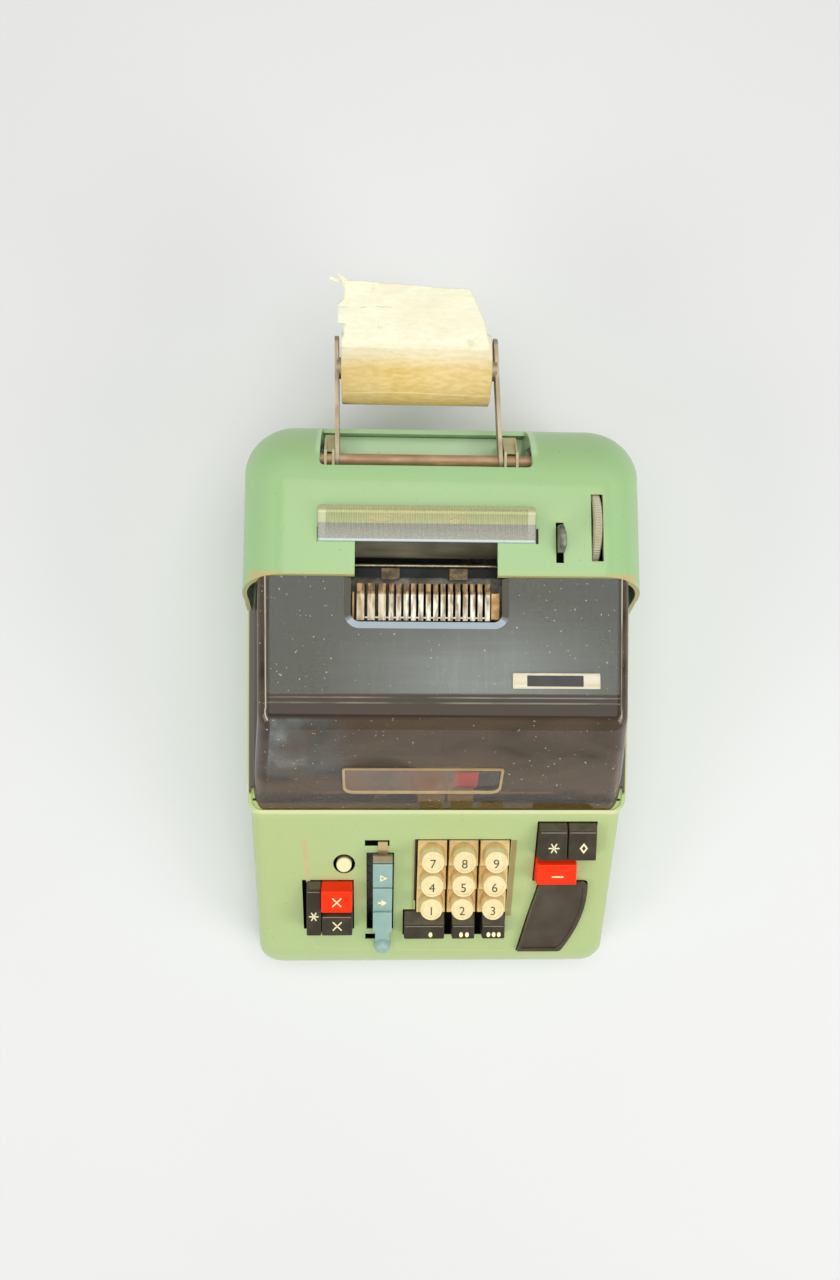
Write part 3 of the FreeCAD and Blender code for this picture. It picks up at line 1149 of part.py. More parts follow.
def ribbon_plate():
    y = REAR_Y - SPOOL_IN
    top = SPOOL_PLATE_HEIGHT + SPOOL_PLATE_THICKNESS
    reach = SPOOL_RADIUS + SPOOL_PLATE_MARGIN
    plate = box(FRAME_INNER_LEFT, FRAME_INNER_RIGHT, y - reach, y + reach, SPOOL_PLATE_HEIGHT, top)
    posts = [z_rod(SPOOL_POST_RADIUS, x, post_y, SPOOL_PLATE_HEIGHT, top + SPOOL_HEIGHT + SPOOL_PLATE_MARGIN)
             for x, post_y in spool_places()]
    return plate.fuse(posts).removeSplitter()


def ribbon_spool(x, y):
    bottom = SPOOL_PLATE_HEIGHT + SPOOL_PLATE_THICKNESS + PARTING_GAP
    top = bottom + SPOOL_HEIGHT
    spool = z_rod(SPOOL_RADIUS, x, y, bottom, bottom + SPOOL_FLANGE)
    spool = spool.fuse([z_rod(SPOOL_HUB_RADIUS, x, y, bottom, top),
                        z_rod(SPOOL_RADIUS, x, y, top - SPOOL_FLANGE, top)])
    return spool.cut(z_rod(SPOOL_POST_RADIUS + SHAFT_CLEARANCE, x, y, 0, FAR)).removeSplitter()


def guide_front():
    """y of the ribbon guides' front face, behind the type bars."""
    return REAR_Y - TYPE_BAR_FRONT_IN + TYPE_BAR_DEPTH + GUIDE_BEHIND


def ribbon_guides():
    """Two bronze tabs that hold the ribbon in front of the platen."""
    y = guide_front()
    top = RIBBON_HEIGHT + GUIDE_HEADROOM
    tabs = []
    for x in (GUIDE_LEFT_X, GUIDE_RIGHT_X):
        x0, x1 = x - GUIDE_WIDTH / 2, x + GUIDE_WIDTH / 2
        leg = box(x0, x1, y, y + GUIDE_SHEET, COMB_HEIGHT, top + GUIDE_SHEET)
        cap = box(x0, x1, y, y + GUIDE_TOP_DEPTH, top, top + GUIDE_SHEET)
        foot = box(x0, x1, y, y + GUIDE_FOOT_DEPTH, COMB_HEIGHT, COMB_HEIGHT + GUIDE_SHEET)
        tabs.append(leg.fuse([cap, foot]).removeSplitter())
    return Part.makeCompound(tabs)


def ink_ribbon():
    y = guide_front() + GUIDE_SHEET + PARTING_GAP
    return box(SPOOL_LEFT_X, SPOOL_RIGHT_X, y, y + RIBBON_WIDTH, RIBBON_HEIGHT, RIBBON_HEIGHT + RIBBON_BUNDLE)


def paper_bail():
    """Thin bar across the front of the platen, between the side frames."""
    return x_rod(BAIL_RADIUS, FRAME_INNER_LEFT, FRAME_INNER_RIGHT, PLATEN_Y - PLATEN_RADIUS - BAIL_GAP,
                 PLATEN_HEIGHT + BAIL_LIFT)


def platen():
    roller = x_rod(PLATEN_RADIUS, PLATEN_LEFT, PLATEN_RIGHT, PLATEN_Y, PLATEN_HEIGHT)
    return roller.cut(x_rod(SHAFT_RADIUS, -FAR, FAR, PLATEN_Y, PLATEN_HEIGHT))


def platen_shaft():
    return x_rod(SHAFT_RADIUS, FRAME_LEFT_X - SHAFT_END, WHEEL_SLOT_X + WHEEL_WIDTH, PLATEN_Y, PLATEN_HEIGHT)


def thumbwheel():
    x0 = WHEEL_SLOT_X - WHEEL_WIDTH / 2
    wheel = x_rod(WHEEL_RADIUS, x0, x0 + WHEEL_WIDTH, PLATEN_Y, PLATEN_HEIGHT)
    return wheel.cut(x_rod(SHAFT_RADIUS, -FAR, FAR, PLATEN_Y, PLATEN_HEIGHT))


def release_lever():
    """Paper release lever on a stub pin of the right side frame."""
    y, z = LEVER_PIVOT_Y, LEVER_PIVOT_HEIGHT
    rear = REAR_Y - LEVER_SLOT_FRONT_IN + LEVER_SLOT_LENGTH - LEVER_REAR_GAP
    front = rear - LEVER_FINGER
    half = LEVER_SLOT_WIDTH / 2 - LEVER_SIDE_GAP
    top = cover_z(rear) + LEVER_LIFT
    neck_y = y + LEVER_NECK
    neck_z = PLATEN_HEIGHT + 2 * SHAFT_RADIUS
    outline = [(y - PIN_RADIUS, z), (neck_y, z), (neck_y, neck_z), (rear, cover_z(rear) - LEVER_HUB_RADIUS),
               (rear, top - LEVER_CHAMFER), (rear - LEVER_CHAMFER, top),
               (front + LEVER_CHAMFER, top - LEVER_CHAMFER / 2), (front, cover_z(front) - CASE_WALL)]
    fin = side_prism(outline, LEVER_SLOT_X - half, LEVER_SLOT_X + half)
    hub = x_rod(LEVER_HUB_RADIUS, LEVER_SLOT_X - half, FRAME_INNER_RIGHT - PARTING_GAP, y, z)
    return fin.fuse(hub).cut(x_rod(PIN_RADIUS + SHAFT_CLEARANCE, 0, FAR, y, z)).removeSplitter()


def lever_pin():
    """Stub pin for the release lever, riveted to the right side frame."""
    return x_rod(PIN_RADIUS, LEVER_SLOT_X - LEVER_SLOT_WIDTH, FRAME_INNER_RIGHT,
                 LEVER_PIVOT_Y, LEVER_PIVOT_HEIGHT)


def arm_rod():
    return x_rod(ROD_RADIUS, FRAME_LEFT_X - ROD_END, FRAME_RIGHT_X + ROD_END, ROD_Y, ROD_HEIGHT)


def roll_arm(x_rod_end, x_tip, stub):
    """Flat strip with round ends, leaning a little sideways from the rod to its tip."""
    half = ARM_HEIGHT / 2
    tip_y = ARM_END_Y - half
    sides = box(-FAR, FAR, ROD_Y, tip_y, ROD_HEIGHT - half, ROD_HEIGHT + half)
    sides = sides.fuse([x_rod(half, -FAR, FAR, y, ROD_HEIGHT) for y in (ROD_Y, tip_y)])
    lean = (x_tip - x_rod_end) / (ARM_END_Y - ROD_Y)
    line = [(x_rod_end + lean * (y - ROD_Y), y) for y in (ROD_Y - half, ARM_END_Y)]
    plan = [(x - ARM_THICKNESS / 2, y) for x, y in line]
    plan += [(x + ARM_THICKNESS / 2, y) for x, y in reversed(line)]
    strip = plan_prism(plan, 0, FAR).common(sides)
    x = x_rod_end + lean * ARM_REACH
    pin = x_rod(ROLL_CORE_RADIUS - SHAFT_CLEARANCE, min(x, x + stub), max(x, x + stub), ROLL_Y, ROD_HEIGHT)
    return strip.fuse(pin).cut(x_rod(ROD_RADIUS, -FAR, FAR, ROD_Y, ROD_HEIGHT)).removeSplitter()


def roll_arms():
    """Two arms from the rod past the roll, each with a stub for the roll's core."""
    return Part.makeCompound([roll_arm(ARM_LEFT_X, ARM_LEFT_TIP_X, ARM_STUB),
                              roll_arm(ARM_RIGHT_X, ARM_RIGHT_TIP_X, -ARM_STUB)])


def paper_sides():
    """x of the paper's left and right edges, between the arms' tips."""
    return (ARM_LEFT_TIP_X + ARM_THICKNESS / 2 + ROLL_SIDE_GAP,
            ARM_RIGHT_TIP_X - ARM_THICKNESS / 2 - ROLL_SIDE_GAP)


def paper_roll():
    roll = x_rod(ROLL_RADIUS, *paper_sides(), ROLL_Y, ROD_HEIGHT)
    return roll.cut(x_rod(ROLL_CORE_RADIUS, -FAR, FAR, ROLL_Y, ROD_HEIGHT))


def paper_loose_end():
    """The paper's loose end, which lies on the roll and stands off to the rear."""
    x0, x1 = paper_sides()
    rise, fall = math.cos(FLAP_RISE), math.sin(FLAP_RISE)
    leave = Vector(x0, ROLL_Y + FLAP_ROOT_RADIUS * fall, ROD_HEIGHT + FLAP_ROOT_RADIUS * rise)
    end = leave + Vector(0, rise, -fall) * FLAP_LENGTH
    out = Vector(0, fall, rise) * PAPER_THICKNESS
    corners = [leave, end, end + out, leave + out]
    return Part.Face(Part.makePolygon(corners + corners[:1])).extrude(Vector(x1 - x0, 0, 0))


def rod_brackets():
    """Two cream sheet-metal channels in the recess that steady the rod."""
    brackets = []
    front, rear = ROD_Y - BRACKET_FRONT, REAR_Y - CASE_WALL - BRACKET_REAR_GAP
    behind = ROD_Y + BRACKET_FRONT
    outline = [(front, RECESS_FLOOR), (rear, RECESS_FLOOR), (rear, ROD_HEIGHT - BRACKET_REAR_DROP),
               (behind, ROD_HEIGHT + BRACKET_FRONT), (front, ROD_HEIGHT + BRACKET_FRONT)]
    for x0, x1 in ((BRACKET_LEFT_X, BRACKET_LEFT_X + BRACKET_LEFT_WIDTH),
                   (BRACKET_RIGHT_X, BRACKET_RIGHT_X + BRACKET_RIGHT_WIDTH)):
        block = side_prism(outline, x0, x1)
        inside = box(x0 + BRACKET_SHEET, x1 - BRACKET_SHEET, -FAR, FAR, RECESS_FLOOR + BRACKET_SHEET, FAR)
        hole = x_rod(ROD_RADIUS + SHAFT_CLEARANCE, -FAR, FAR, ROD_Y, ROD_HEIGHT)
        brackets.append(block.cut([inside, hole]).removeSplitter())
    return Part.makeCompound(brackets)


def motor_place():
    """Axis of the motor, one gear centre distance behind the drive shaft."""
    distance = GEAR_MODULE * (DRIVE_TEETH + MOTOR_TEETH) / 2
    drop = DRIVE_HEIGHT - MOTOR_HEIGHT
    return DRIVE_Y + math.sqrt(distance ** 2 - drop ** 2), MOTOR_HEIGHT


def gear(teeth, x0, x1, y, z, phase):
    """Spur gear with straight-flanked teeth; phase is a share of one tooth."""
    pitch = GEAR_MODULE * teeth / 2
    outer, root = pitch + 0.9 * GEAR_MODULE, pitch - 1.2 * GEAR_MODULE
    points = []
    for tooth in range(teeth):
        for share, radius in ((-0.27, root), (-0.12, outer), (0.12, outer), (0.27, root)):
            angle = 2 * math.pi * (tooth + share + phase) / teeth
            points.append((y + radius * math.cos(angle), z + radius * math.sin(angle)))
    return side_prism(points, x0, x1)


def mesh_angle():
    """Direction from the drive shaft to the motor, in turns."""
    y, z = motor_place()
    return math.atan2(z - DRIVE_HEIGHT, y - DRIVE_Y) / (2 * math.pi)


def drive_shaft():
    """Main shaft with its big gear and three eccentric cams."""
    shaft = x_rod(DRIVE_RADIUS, FRAME_LEFT_X - SHAFT_END, FRAME_RIGHT_X + SHAFT_END, DRIVE_Y, DRIVE_HEIGHT)
    wheel = gear(DRIVE_TEETH, GEAR_X, GEAR_X + GEAR_WIDTH, DRIVE_Y, DRIVE_HEIGHT, mesh_angle() * DRIVE_TEETH)
    cams = []
    for index in range(CAM_COUNT):
        x = CAM_LEFT_X + index * CAM_PITCH
        turn = 2 * math.pi * index / CAM_COUNT
        cams.append(x_rod(CAM_RADIUS, x, x + CAM_WIDTH, DRIVE_Y + CAM_THROW * math.cos(turn),
                          DRIVE_HEIGHT + CAM_THROW * math.sin(turn)))
    return shaft.fuse([wheel] + cams).removeSplitter()


def motor_rotor():
    y, z = motor_place()
    end = GEAR_X + GEAR_WIDTH
    shaft = x_rod(SHAFT_RADIUS, MOTOR_LEFT_X - SHAFT_END, end, y, z)
    core = x_rod(ROTOR_RADIUS, MOTOR_LEFT_X + ROTOR_INSET, MOTOR_LEFT_X + MOTOR_LENGTH - ROTOR_INSET, y, z)
    half_turn = (mesh_angle() + 0.5) * MOTOR_TEETH + 0.5
    pinion = gear(MOTOR_TEETH, GEAR_X, end, y, z, half_turn)
    return shaft.fuse([core, pinion]).removeSplitter()


def motor_housing():
    """Motor can on two feet, hollow for the rotor."""
    y, z = motor_place()
    x1 = MOTOR_LEFT_X + MOTOR_LENGTH
    can = x_rod(MOTOR_RADIUS, MOTOR_LEFT_X, x1, y, z)
    feet = [box(x, x + MOTOR_FOOT_WIDTH, y - MOTOR_FOOT_HALF_DEPTH, y + MOTOR_FOOT_HALF_DEPTH,
                PLATE_TOP, z - MOTOR_RADIUS / 2)
            for x in (MOTOR_LEFT_X + MOTOR_FOOT_INSET, x1 - MOTOR_FOOT_INSET - MOTOR_FOOT_WIDTH)]
    hollow = x_rod(MOTOR_RADIUS - MOTOR_WALL, MOTOR_LEFT_X + MOTOR_WALL, x1 - MOTOR_WALL, y, z)
    bore = x_rod(SHAFT_RADIUS + SHAFT_CLEARANCE, -FAR, FAR, y, z)
    return can.fuse(feet).cut([hollow, bore]).removeSplitter()


def register_wheels():
    """Counting wheels on their shaft."""
    y, z = REAR_Y - REGISTER_IN, REGISTER_HEIGHT
    shaft = x_rod(RAIL_RADIUS, FRAME_LEFT_X - ROD_END, FRAME_RIGHT_X + ROD_END, y, z)
    first = type_bar_places()[TYPE_WIDE_COUNT][0] - REGISTER_WHEEL_WIDTH / 2
    wheels = []
    for index in range(REGISTER_COUNT):
        x = first + index * TYPE_BAR_PITCH
        wheels.append(x_rod(REGISTER_WHEEL_RADIUS, x, x + REGISTER_WHEEL_WIDTH, y, z))
    return shaft.fuse(wheels).removeSplitter()


def rail_places():
    return [FRONT_Y + RAIL_FRONT_AHEAD, FRONT_Y + RAIL_REAR_AHEAD]


def pin_carriage():
    """Pin box that steps to the left as digits are entered."""
    y0, y1 = rail_places()
    top = RAIL_HEIGHT + CARRIAGE_RISE
    block = box(CARRIAGE_LEFT_X, CARRIAGE_LEFT_X + CARRIAGE_WIDTH, y0 - CARRIAGE_FRONT, y1 + CARRIAGE_REAR,
                RAIL_HEIGHT - CARRIAGE_DROP, top)
    block = block.cut([x_rod(RAIL_RADIUS + SHAFT_CLEARANCE, -FAR, FAR, y, RAIL_HEIGHT) for y in (y0, y1)])
    pins = []
    for column in range(PIN_COLUMN_COUNT):
        for row in range(PIN_ROW_COUNT):
            pins.append(z_rod(CARRIAGE_PIN_RADIUS, CARRIAGE_LEFT_X + PIN_INSET + column * TYPE_BAR_PITCH,
                              y0 + row * PIN_ROW_PITCH, top - PIN_LIFT, top + PIN_LIFT))
    return block.fuse(pins).removeSplitter()


def column_indicator():
    """Red flag behind the magnifier that shows the column reached."""
    y, z = FRONT_Y + FLAG_AHEAD, FLAG_HEIGHT
    along = Vector(0, math.cos(FACE_LEAN), math.sin(FACE_LEAN)) * (FLAG_SLANT / 2)
    thick = Vector(0, math.sin(FACE_LEAN), -math.cos(FACE_LEAN)) * FLAG_SHEET
    start = Vector(FLAG_X - FLAG_WIDTH / 2, y, z)
    corners = [start - along, start + along, start + along + thick, start - along + thick]
    flag = Part.Face(Part.makePolygon(corners + corners[:1])).extrude(Vector(FLAG_WIDTH, 0, 0))
    x0, x1 = FLAG_X - FLAG_STEM_WIDTH / 2, FLAG_X + FLAG_STEM_WIDTH / 2
    leg_y = rail_places()[0] - CARRIAGE_FRONT + FLAG_SHEET / 2
    leg = box(x0, x1, leg_y, leg_y + FLAG_SHEET, RAIL_HEIGHT + CARRIAGE_RISE, z)
    arm = box(x0, x1, min(y, leg_y), leg_y + FLAG_SHEET, z - FLAG_SHEET, z)
    return flag.fuse([leg, arm]).removeSplitter()


def power_inlet():
    """Recessed mains inlet in the rear wall with three flat pins."""
    body = inlet_hole(0.0).cut(half_space(REAR_Y, FAR, 0, FAR))
    back = REAR_Y - INLET_DEPTH + INLET_WALL
    socket = box(INLET_X - INLET_WIDTH / 2 + INLET_WALL, INLET_X + INLET_WIDTH / 2 - INLET_WALL, back, FAR,
                 INLET_Z + INLET_WALL, INLET_Z + INLET_HEIGHT - INLET_WALL)
    middle = INLET_Z + INLET_HEIGHT / 2
    half_x, half_z = INLET_PIN_WIDTH / 2, INLET_PIN_HEIGHT / 2
    pins = []
    for x in (INLET_X - INLET_PIN_PITCH, INLET_X, INLET_X + INLET_PIN_PITCH):
        pins.append(box(x - half_x, x + half_x, back - half_x, REAR_Y - INLET_PIN_BACK,
                        middle - half_z, middle + half_z))
    return body.cut(socket).fuse(pins).removeSplitter()


def side_frame_right():
    return side_frame(FRAME_RIGHT_X).fuse(lever_pin()).removeSplitter()


def all_parts():
    parts = {
        "base_shell": base_shell(),
        "rear_cover": rear_cover(),
        "smoked_hood": smoked_hood(),
        "magnifier_window": magnifier_window(),
        "name_plate": name_plate(),
        "tear_bar": tear_bar(),
        "base_plate": base_plate(),
        "case_screws": case_screws(),
        "rubber_feet": rubber_feet(),
        "side_frame_left": side_frame(FRAME_LEFT_X),
        "side_frame_right": side_frame_right(),
        "cross_rods": cross_rods(),
        "keyboard_frame": keyboard_frame(),
        "type_guide_comb": type_guide_comb(),
        "ribbon_plate": ribbon_plate(),
        "ribbon_guides": ribbon_guides(),
        "ink_ribbon": ink_ribbon(),
        "paper_bail": paper_bail(),
        "rod_brackets": rod_brackets(),
        "motor_housing": motor_housing(),
        "power_inlet": power_inlet(),
        "clear_button": clear_button(),
        "plus_bar": plus_bar(),
        "shift_lever": shift_lever(),
        "platen": platen(),
        "platen_shaft": platen_shaft(),
        "platen_thumbwheel": thumbwheel(),
        "paper_release_lever": release_lever(),
        "arm_rod": arm_rod(),
        "roll_arms": roll_arms(),
        "paper_roll": paper_roll(),
        "paper_loose_end": paper_loose_end(),
        "pin_carriage": pin_carriage(),
        "column_indicator": column_indicator(),
        "type_bars": type_bars(),
        "drive_shaft": drive_shaft(),
        "motor_rotor": motor_rotor(),
        "register_wheels": register_wheels(),
    }
    for row, y in enumerate(pad_rows()):
        for column, x in enumerate(pad_columns()):
            parts[f"digit_key_{(2 - row) * 3 + column + 1}"] = digit_key(x, y)
    lifts = {"zero_key": ZERO_LIFT, "double_zero_key": ZERO_LIFT, "triple_zero_key": ZERO_LIFT,
             "product_total_key": LEFT_KEYS_LIFT, "negative_times_key": LEFT_KEYS_LIFT,
             "times_key": LEFT_KEYS_LIFT}
    for name, place in cap_places().items():
        top_depth = ZERO_TOP_DEPTH if "zero" in name else None
        parts[name] = sloping_cap(place, lifts.get(name, TOTAL_LIFT), REAR_BEVEL, top_depth)
    triangle, arrow, _ = shift_places()
    parts["triangle_key"] = shift_key(*triangle)
    parts["arrow_key"] = shift_key(*arrow)
    for side, (x, y) in zip(("left", "right"), spool_places()):
        parts[f"ribbon_spool_{side}"] = ribbon_spool(x, y)
    return parts


os.makedirs("parts", exist_ok=True)
for name, shape in all_parts().items():
    shape.exportStep(f"parts/{name}.step")
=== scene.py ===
import math
import random

import bmesh
import bpy
from mathutils import Matrix, Vector

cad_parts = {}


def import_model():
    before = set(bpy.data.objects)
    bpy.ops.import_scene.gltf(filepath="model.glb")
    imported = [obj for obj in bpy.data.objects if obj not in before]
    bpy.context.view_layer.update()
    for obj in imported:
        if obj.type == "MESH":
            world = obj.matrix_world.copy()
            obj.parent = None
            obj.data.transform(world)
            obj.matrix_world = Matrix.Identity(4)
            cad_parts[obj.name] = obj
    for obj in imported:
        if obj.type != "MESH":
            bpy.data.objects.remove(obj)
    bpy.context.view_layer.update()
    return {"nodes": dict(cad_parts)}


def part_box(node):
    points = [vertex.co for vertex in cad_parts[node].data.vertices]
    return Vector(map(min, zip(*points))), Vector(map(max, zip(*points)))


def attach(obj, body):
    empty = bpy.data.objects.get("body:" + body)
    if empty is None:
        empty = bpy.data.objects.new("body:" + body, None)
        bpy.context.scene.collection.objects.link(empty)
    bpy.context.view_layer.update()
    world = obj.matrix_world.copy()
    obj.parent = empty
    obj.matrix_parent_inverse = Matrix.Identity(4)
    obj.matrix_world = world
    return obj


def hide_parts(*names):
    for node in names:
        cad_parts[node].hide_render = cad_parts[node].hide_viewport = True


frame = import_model()

MM = 0.001
SEED = 7  # of the loose end's frayed edge

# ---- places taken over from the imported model, in millimetres ----
SHELL_LOW, SHELL_HIGH = (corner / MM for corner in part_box("base_shell"))
FRONT_Y = SHELL_LOW.y
REAR_Y = SHELL_HIGH.y
HOOD_FOOT_Y = FRONT_Y + 118.0
HOOD_FOOT_Z = 92.5
COVER_REAR_Z = 133.4  # the cover's top plane, carried on to the rear wall
HOOD_UNDER_COVER = 2.0
DECK_ANGLE = math.radians(25.0)
TOP_ANGLE = math.radians(8.5)
FACE_ANGLE = math.radians(46.0)
CAP_ANGLE = math.radians(7.0)
ROD_Y = REAR_Y - 21.6
ROD_Z = 124.0
ROLL_Y = ROD_Y + 51.5
ROLL_Z = ROD_Z
PLATEN_Y = REAR_Y - 60.6
PLATEN_Z = 120.5
TEAR_FRONT = REAR_Y - 69.6
TEAR_REAR = TEAR_FRONT + 20.0
TYPE_FRONT = REAR_Y - 113.4
COVER_FRONT = REAR_Y - 88.0
LEVER_SLOT_FRONT = REAR_Y - 80.6
LEVER_SLOT_LENGTH = 22.7
BROW_Y = FRONT_Y + 194.8  # the photograph's; the hood's own brow lies further in front
PAD_REAR = FRONT_Y + 96.9
PAD_FRONT = FRONT_Y + 40.0
MECHANISM_X = -9.8
TYPE_WINDOW_X = -9.9


def deck_z(y):
    """Height of the sloping deck."""
    return HOOD_FOOT_Z + math.tan(DECK_ANGLE) * (y - HOOD_FOOT_Y)


def cover_z(y):
    """Height of the rear cover's top, which falls towards the rear."""
    return COVER_REAR_Z + math.tan(TOP_ANGLE) * (REAR_Y - y)


def hood_z(y):
    """Height of the hood's top."""
    return cover_z(y) - HOOD_UNDER_COVER


# each of these places a point (u, v, w), in which w is the height over a surface
def level(u, v, w):
    return (u, v, w)


def sideways(u, v, w):
    return (w, u, v)


def on_deck(u, v, w):
    return (u, v, deck_z(v) + w)


def on_cover(u, v, w):
    return (u, v, cover_z(v) + w)


def on_hood(u, v, w):
    return (u, v, hood_z(v) + w)


# ---- procedural materials ----
def linear(red, green, blue):
    """Scene-linear colour of an sRGB colour given in 0..255."""
    def one(value):
        value /= 255.0
        return value / 12.92 if value <= 0.04045 else ((value + 0.055) / 1.055) ** 2.4
    return (one(red), one(green), one(blue), 1.0)


EVEN = (1.0, 1.0, 1.0)


class Shader:
    """A Principled material whose inputs can be fed by small node chains."""

    def __init__(self, name, **values):
        self.material = bpy.data.materials.new(name)
        self.material.use_nodes = True
        self.tree = self.material.node_tree
        self.bsdf = self.tree.nodes["Principled BSDF"]
        self.plug(self.bsdf, **values)
        self.place = self.node("TexCoord")["Object"]
        self.bumps = {}

    def feed(self, socket, value):
        """Socket fed by another socket, a number or an sRGB colour in 0..255."""
        if isinstance(value, bpy.types.NodeSocket):
            self.tree.links.new(value, socket)
        else:
            socket.default_value = linear(*value) if isinstance(value, tuple) else value

    def plug(self, node, **values):
        """Feeds inputs by their names, with _ for a space, and gives the node's outputs."""
        for name, value in values.items():
            self.feed(node.inputs[name.replace("_", " ")], value)
        return node.outputs

    def node(self, kind, **values):
        return self.plug(self.tree.nodes.new("ShaderNode" + kind), **values)

    def math(self, operation, total, *values, clamp=False):
        """The operation on the first two values, then on its result and each further value."""
        for value in values or (0.0,):
            node = self.tree.nodes.new("ShaderNodeMath")
            node.operation = operation
            node.use_clamp = clamp
            self.feed(node.inputs[0], total)
            self.feed(node.inputs[1], value)
            total = node.outputs[0]
        return total

    def times(self, *values, clamp=False):
        return self.math("MULTIPLY", *values, clamp=clamp)

    def plus(self, *values, clamp=False):
        return self.math("ADD", *values, clamp=clamp)

    def minus(self, *values, clamp=False):
        return self.math("SUBTRACT", *values, clamp=clamp)

    def most(self, *values, clamp=False):
        return self.math("MAXIMUM", *values, clamp=clamp)

    def axes(self):
        return self.node("SeparateXYZ", Vector=self.place)

    def normal(self):
        return self.node("SeparateXYZ", Vector=self.node("NewGeometry")["Normal"])

    def step(self, value, low, high):
        """0 at low and 1 at high, straight between them."""
        return self.node("MapRange", Value=value, From_Min=low, From_Max=high)[0]

    def ramp(self, value, low, high):
        """step, with both places in millimetres."""
        return self.step(value, low * MM, high * MM)

    def band(self, value, start, full, last, end):
        """1 from full to last, 0 before start and after end; places in millimetres."""
        return self.times(self.ramp(value, start, full), self.ramp(value, end, last))

    def apart(self, value, centre=0.0):
        """Distance from a centre, which is given in millimetres."""
        return self.math("ABSOLUTE", self.minus(value, centre * MM) if centre else value)

    def stretched(self, stretch):
        return self.node("Mapping", Vector=self.place, Scale=Vector(stretch))[0]

    def noise(self, scale, detail=3.0, stretch=EVEN, distortion=0.0):
        vector = self.place if stretch == EVEN else self.stretched(stretch)
        return self.node("TexNoise", Vector=vector, Scale=scale, Detail=detail, Distortion=distortion)[0]

    def patches(self, low, high, scale, *shape):
        """Noise cut to patches: 0 where it is under low, 1 where it is over high."""
        return self.step(self.noise(scale, *shape), low, high)

    def cells(self, scale, stretch):
        return self.node("TexVoronoi", Vector=self.stretched(stretch), Scale=scale)["Distance"]

    def blend(self, share, a, b):
        node = self.tree.nodes.new("ShaderNodeMix")
        node.data_type = "RGBA"
        self.feed(node.inputs[0], share)
        self.feed(node.inputs[6], a)
        self.feed(node.inputs[7], b)
        return node.outputs[2]

    def over(self, body, colour, share, strength=1.0):
        """The colour laid over body by share, as thickly as strength says."""
        return self.blend(share if strength == 1.0 else self.times(share, strength), body, colour)

    def colour(self, value):
        self.plug(self.bsdf, Base_Color=value)

    def clear(self, value):
        self.plug(self.bsdf, Transmission_Weight=value)

    def rough(self, share, low, high):
        self.plug(self.bsdf, Roughness=self.node("MapRange", Value=share, To_Min=low, To_Max=high)[0])

    def bump(self, height, strength, distance=0.0002):
        """Relief in metres, on top of the relief that is there already."""
        relief = self.node("Bump", Height=height, Strength=strength, Distance=distance, **self.bumps)[0]
        self.bumps = {"Normal": relief}
        self.plug(self.bsdf, **self.bumps)


def cover_coat(s, patches):
    """Rear cover: rubbed front edge, flat top darkened as painted shade, recess floor paled as painted
    light, stained lower rim.
    """
    x, y, z = s.axes()
    _, ny, nz = s.normal()
    body = s.blend(patches, COVER_GREEN, COVER_GREEN_PATCH)
    edge = s.times(s.step(ny, -0.55, -0.85), s.step(nz, 0.6, 0.3))
    uneven = s.plus(y, s.times(s.noise(46.0, 3.0, (0.4, 1.0, 1.0)), 1.8 * MM))
    front = s.times(s.ramp(uneven, COVER_FRONT + 3.4, COVER_FRONT + 1.8), s.step(nz, 0.5, 0.7))
    body = s.over(body, (206, 178, 116), s.most(edge, s.times(front, 0.75)))
    # painted shade: the flat top is darkened
    body = s.over(body, COVER_GREEN_TOP_SHADE, s.step(nz, 0.95, 0.985), 0.7)
    # painted light: the recess floor and walls are made paler
    below = s.minus(cover_z(0.0) * MM, s.times(y, math.tan(TOP_ANGLE)), z)
    recess = s.times(s.ramp(y, ROD_Y - 6.0, ROD_Y - 5.0), s.ramp(below, 4.0, 6.0),
                     s.ramp(s.apart(x, MECHANISM_X), 64.0, 62.0))
    body = s.over(body, (196, 226, 180), recess, 0.7)
    rim = s.times(s.ramp(z, 103.0, 100.5), s.patches(0.35, 0.6, 60.0), s.ramp(s.apart(x), 96.0, 99.0))
    return s.over(body, (170, 160, 112), rim, 0.35)


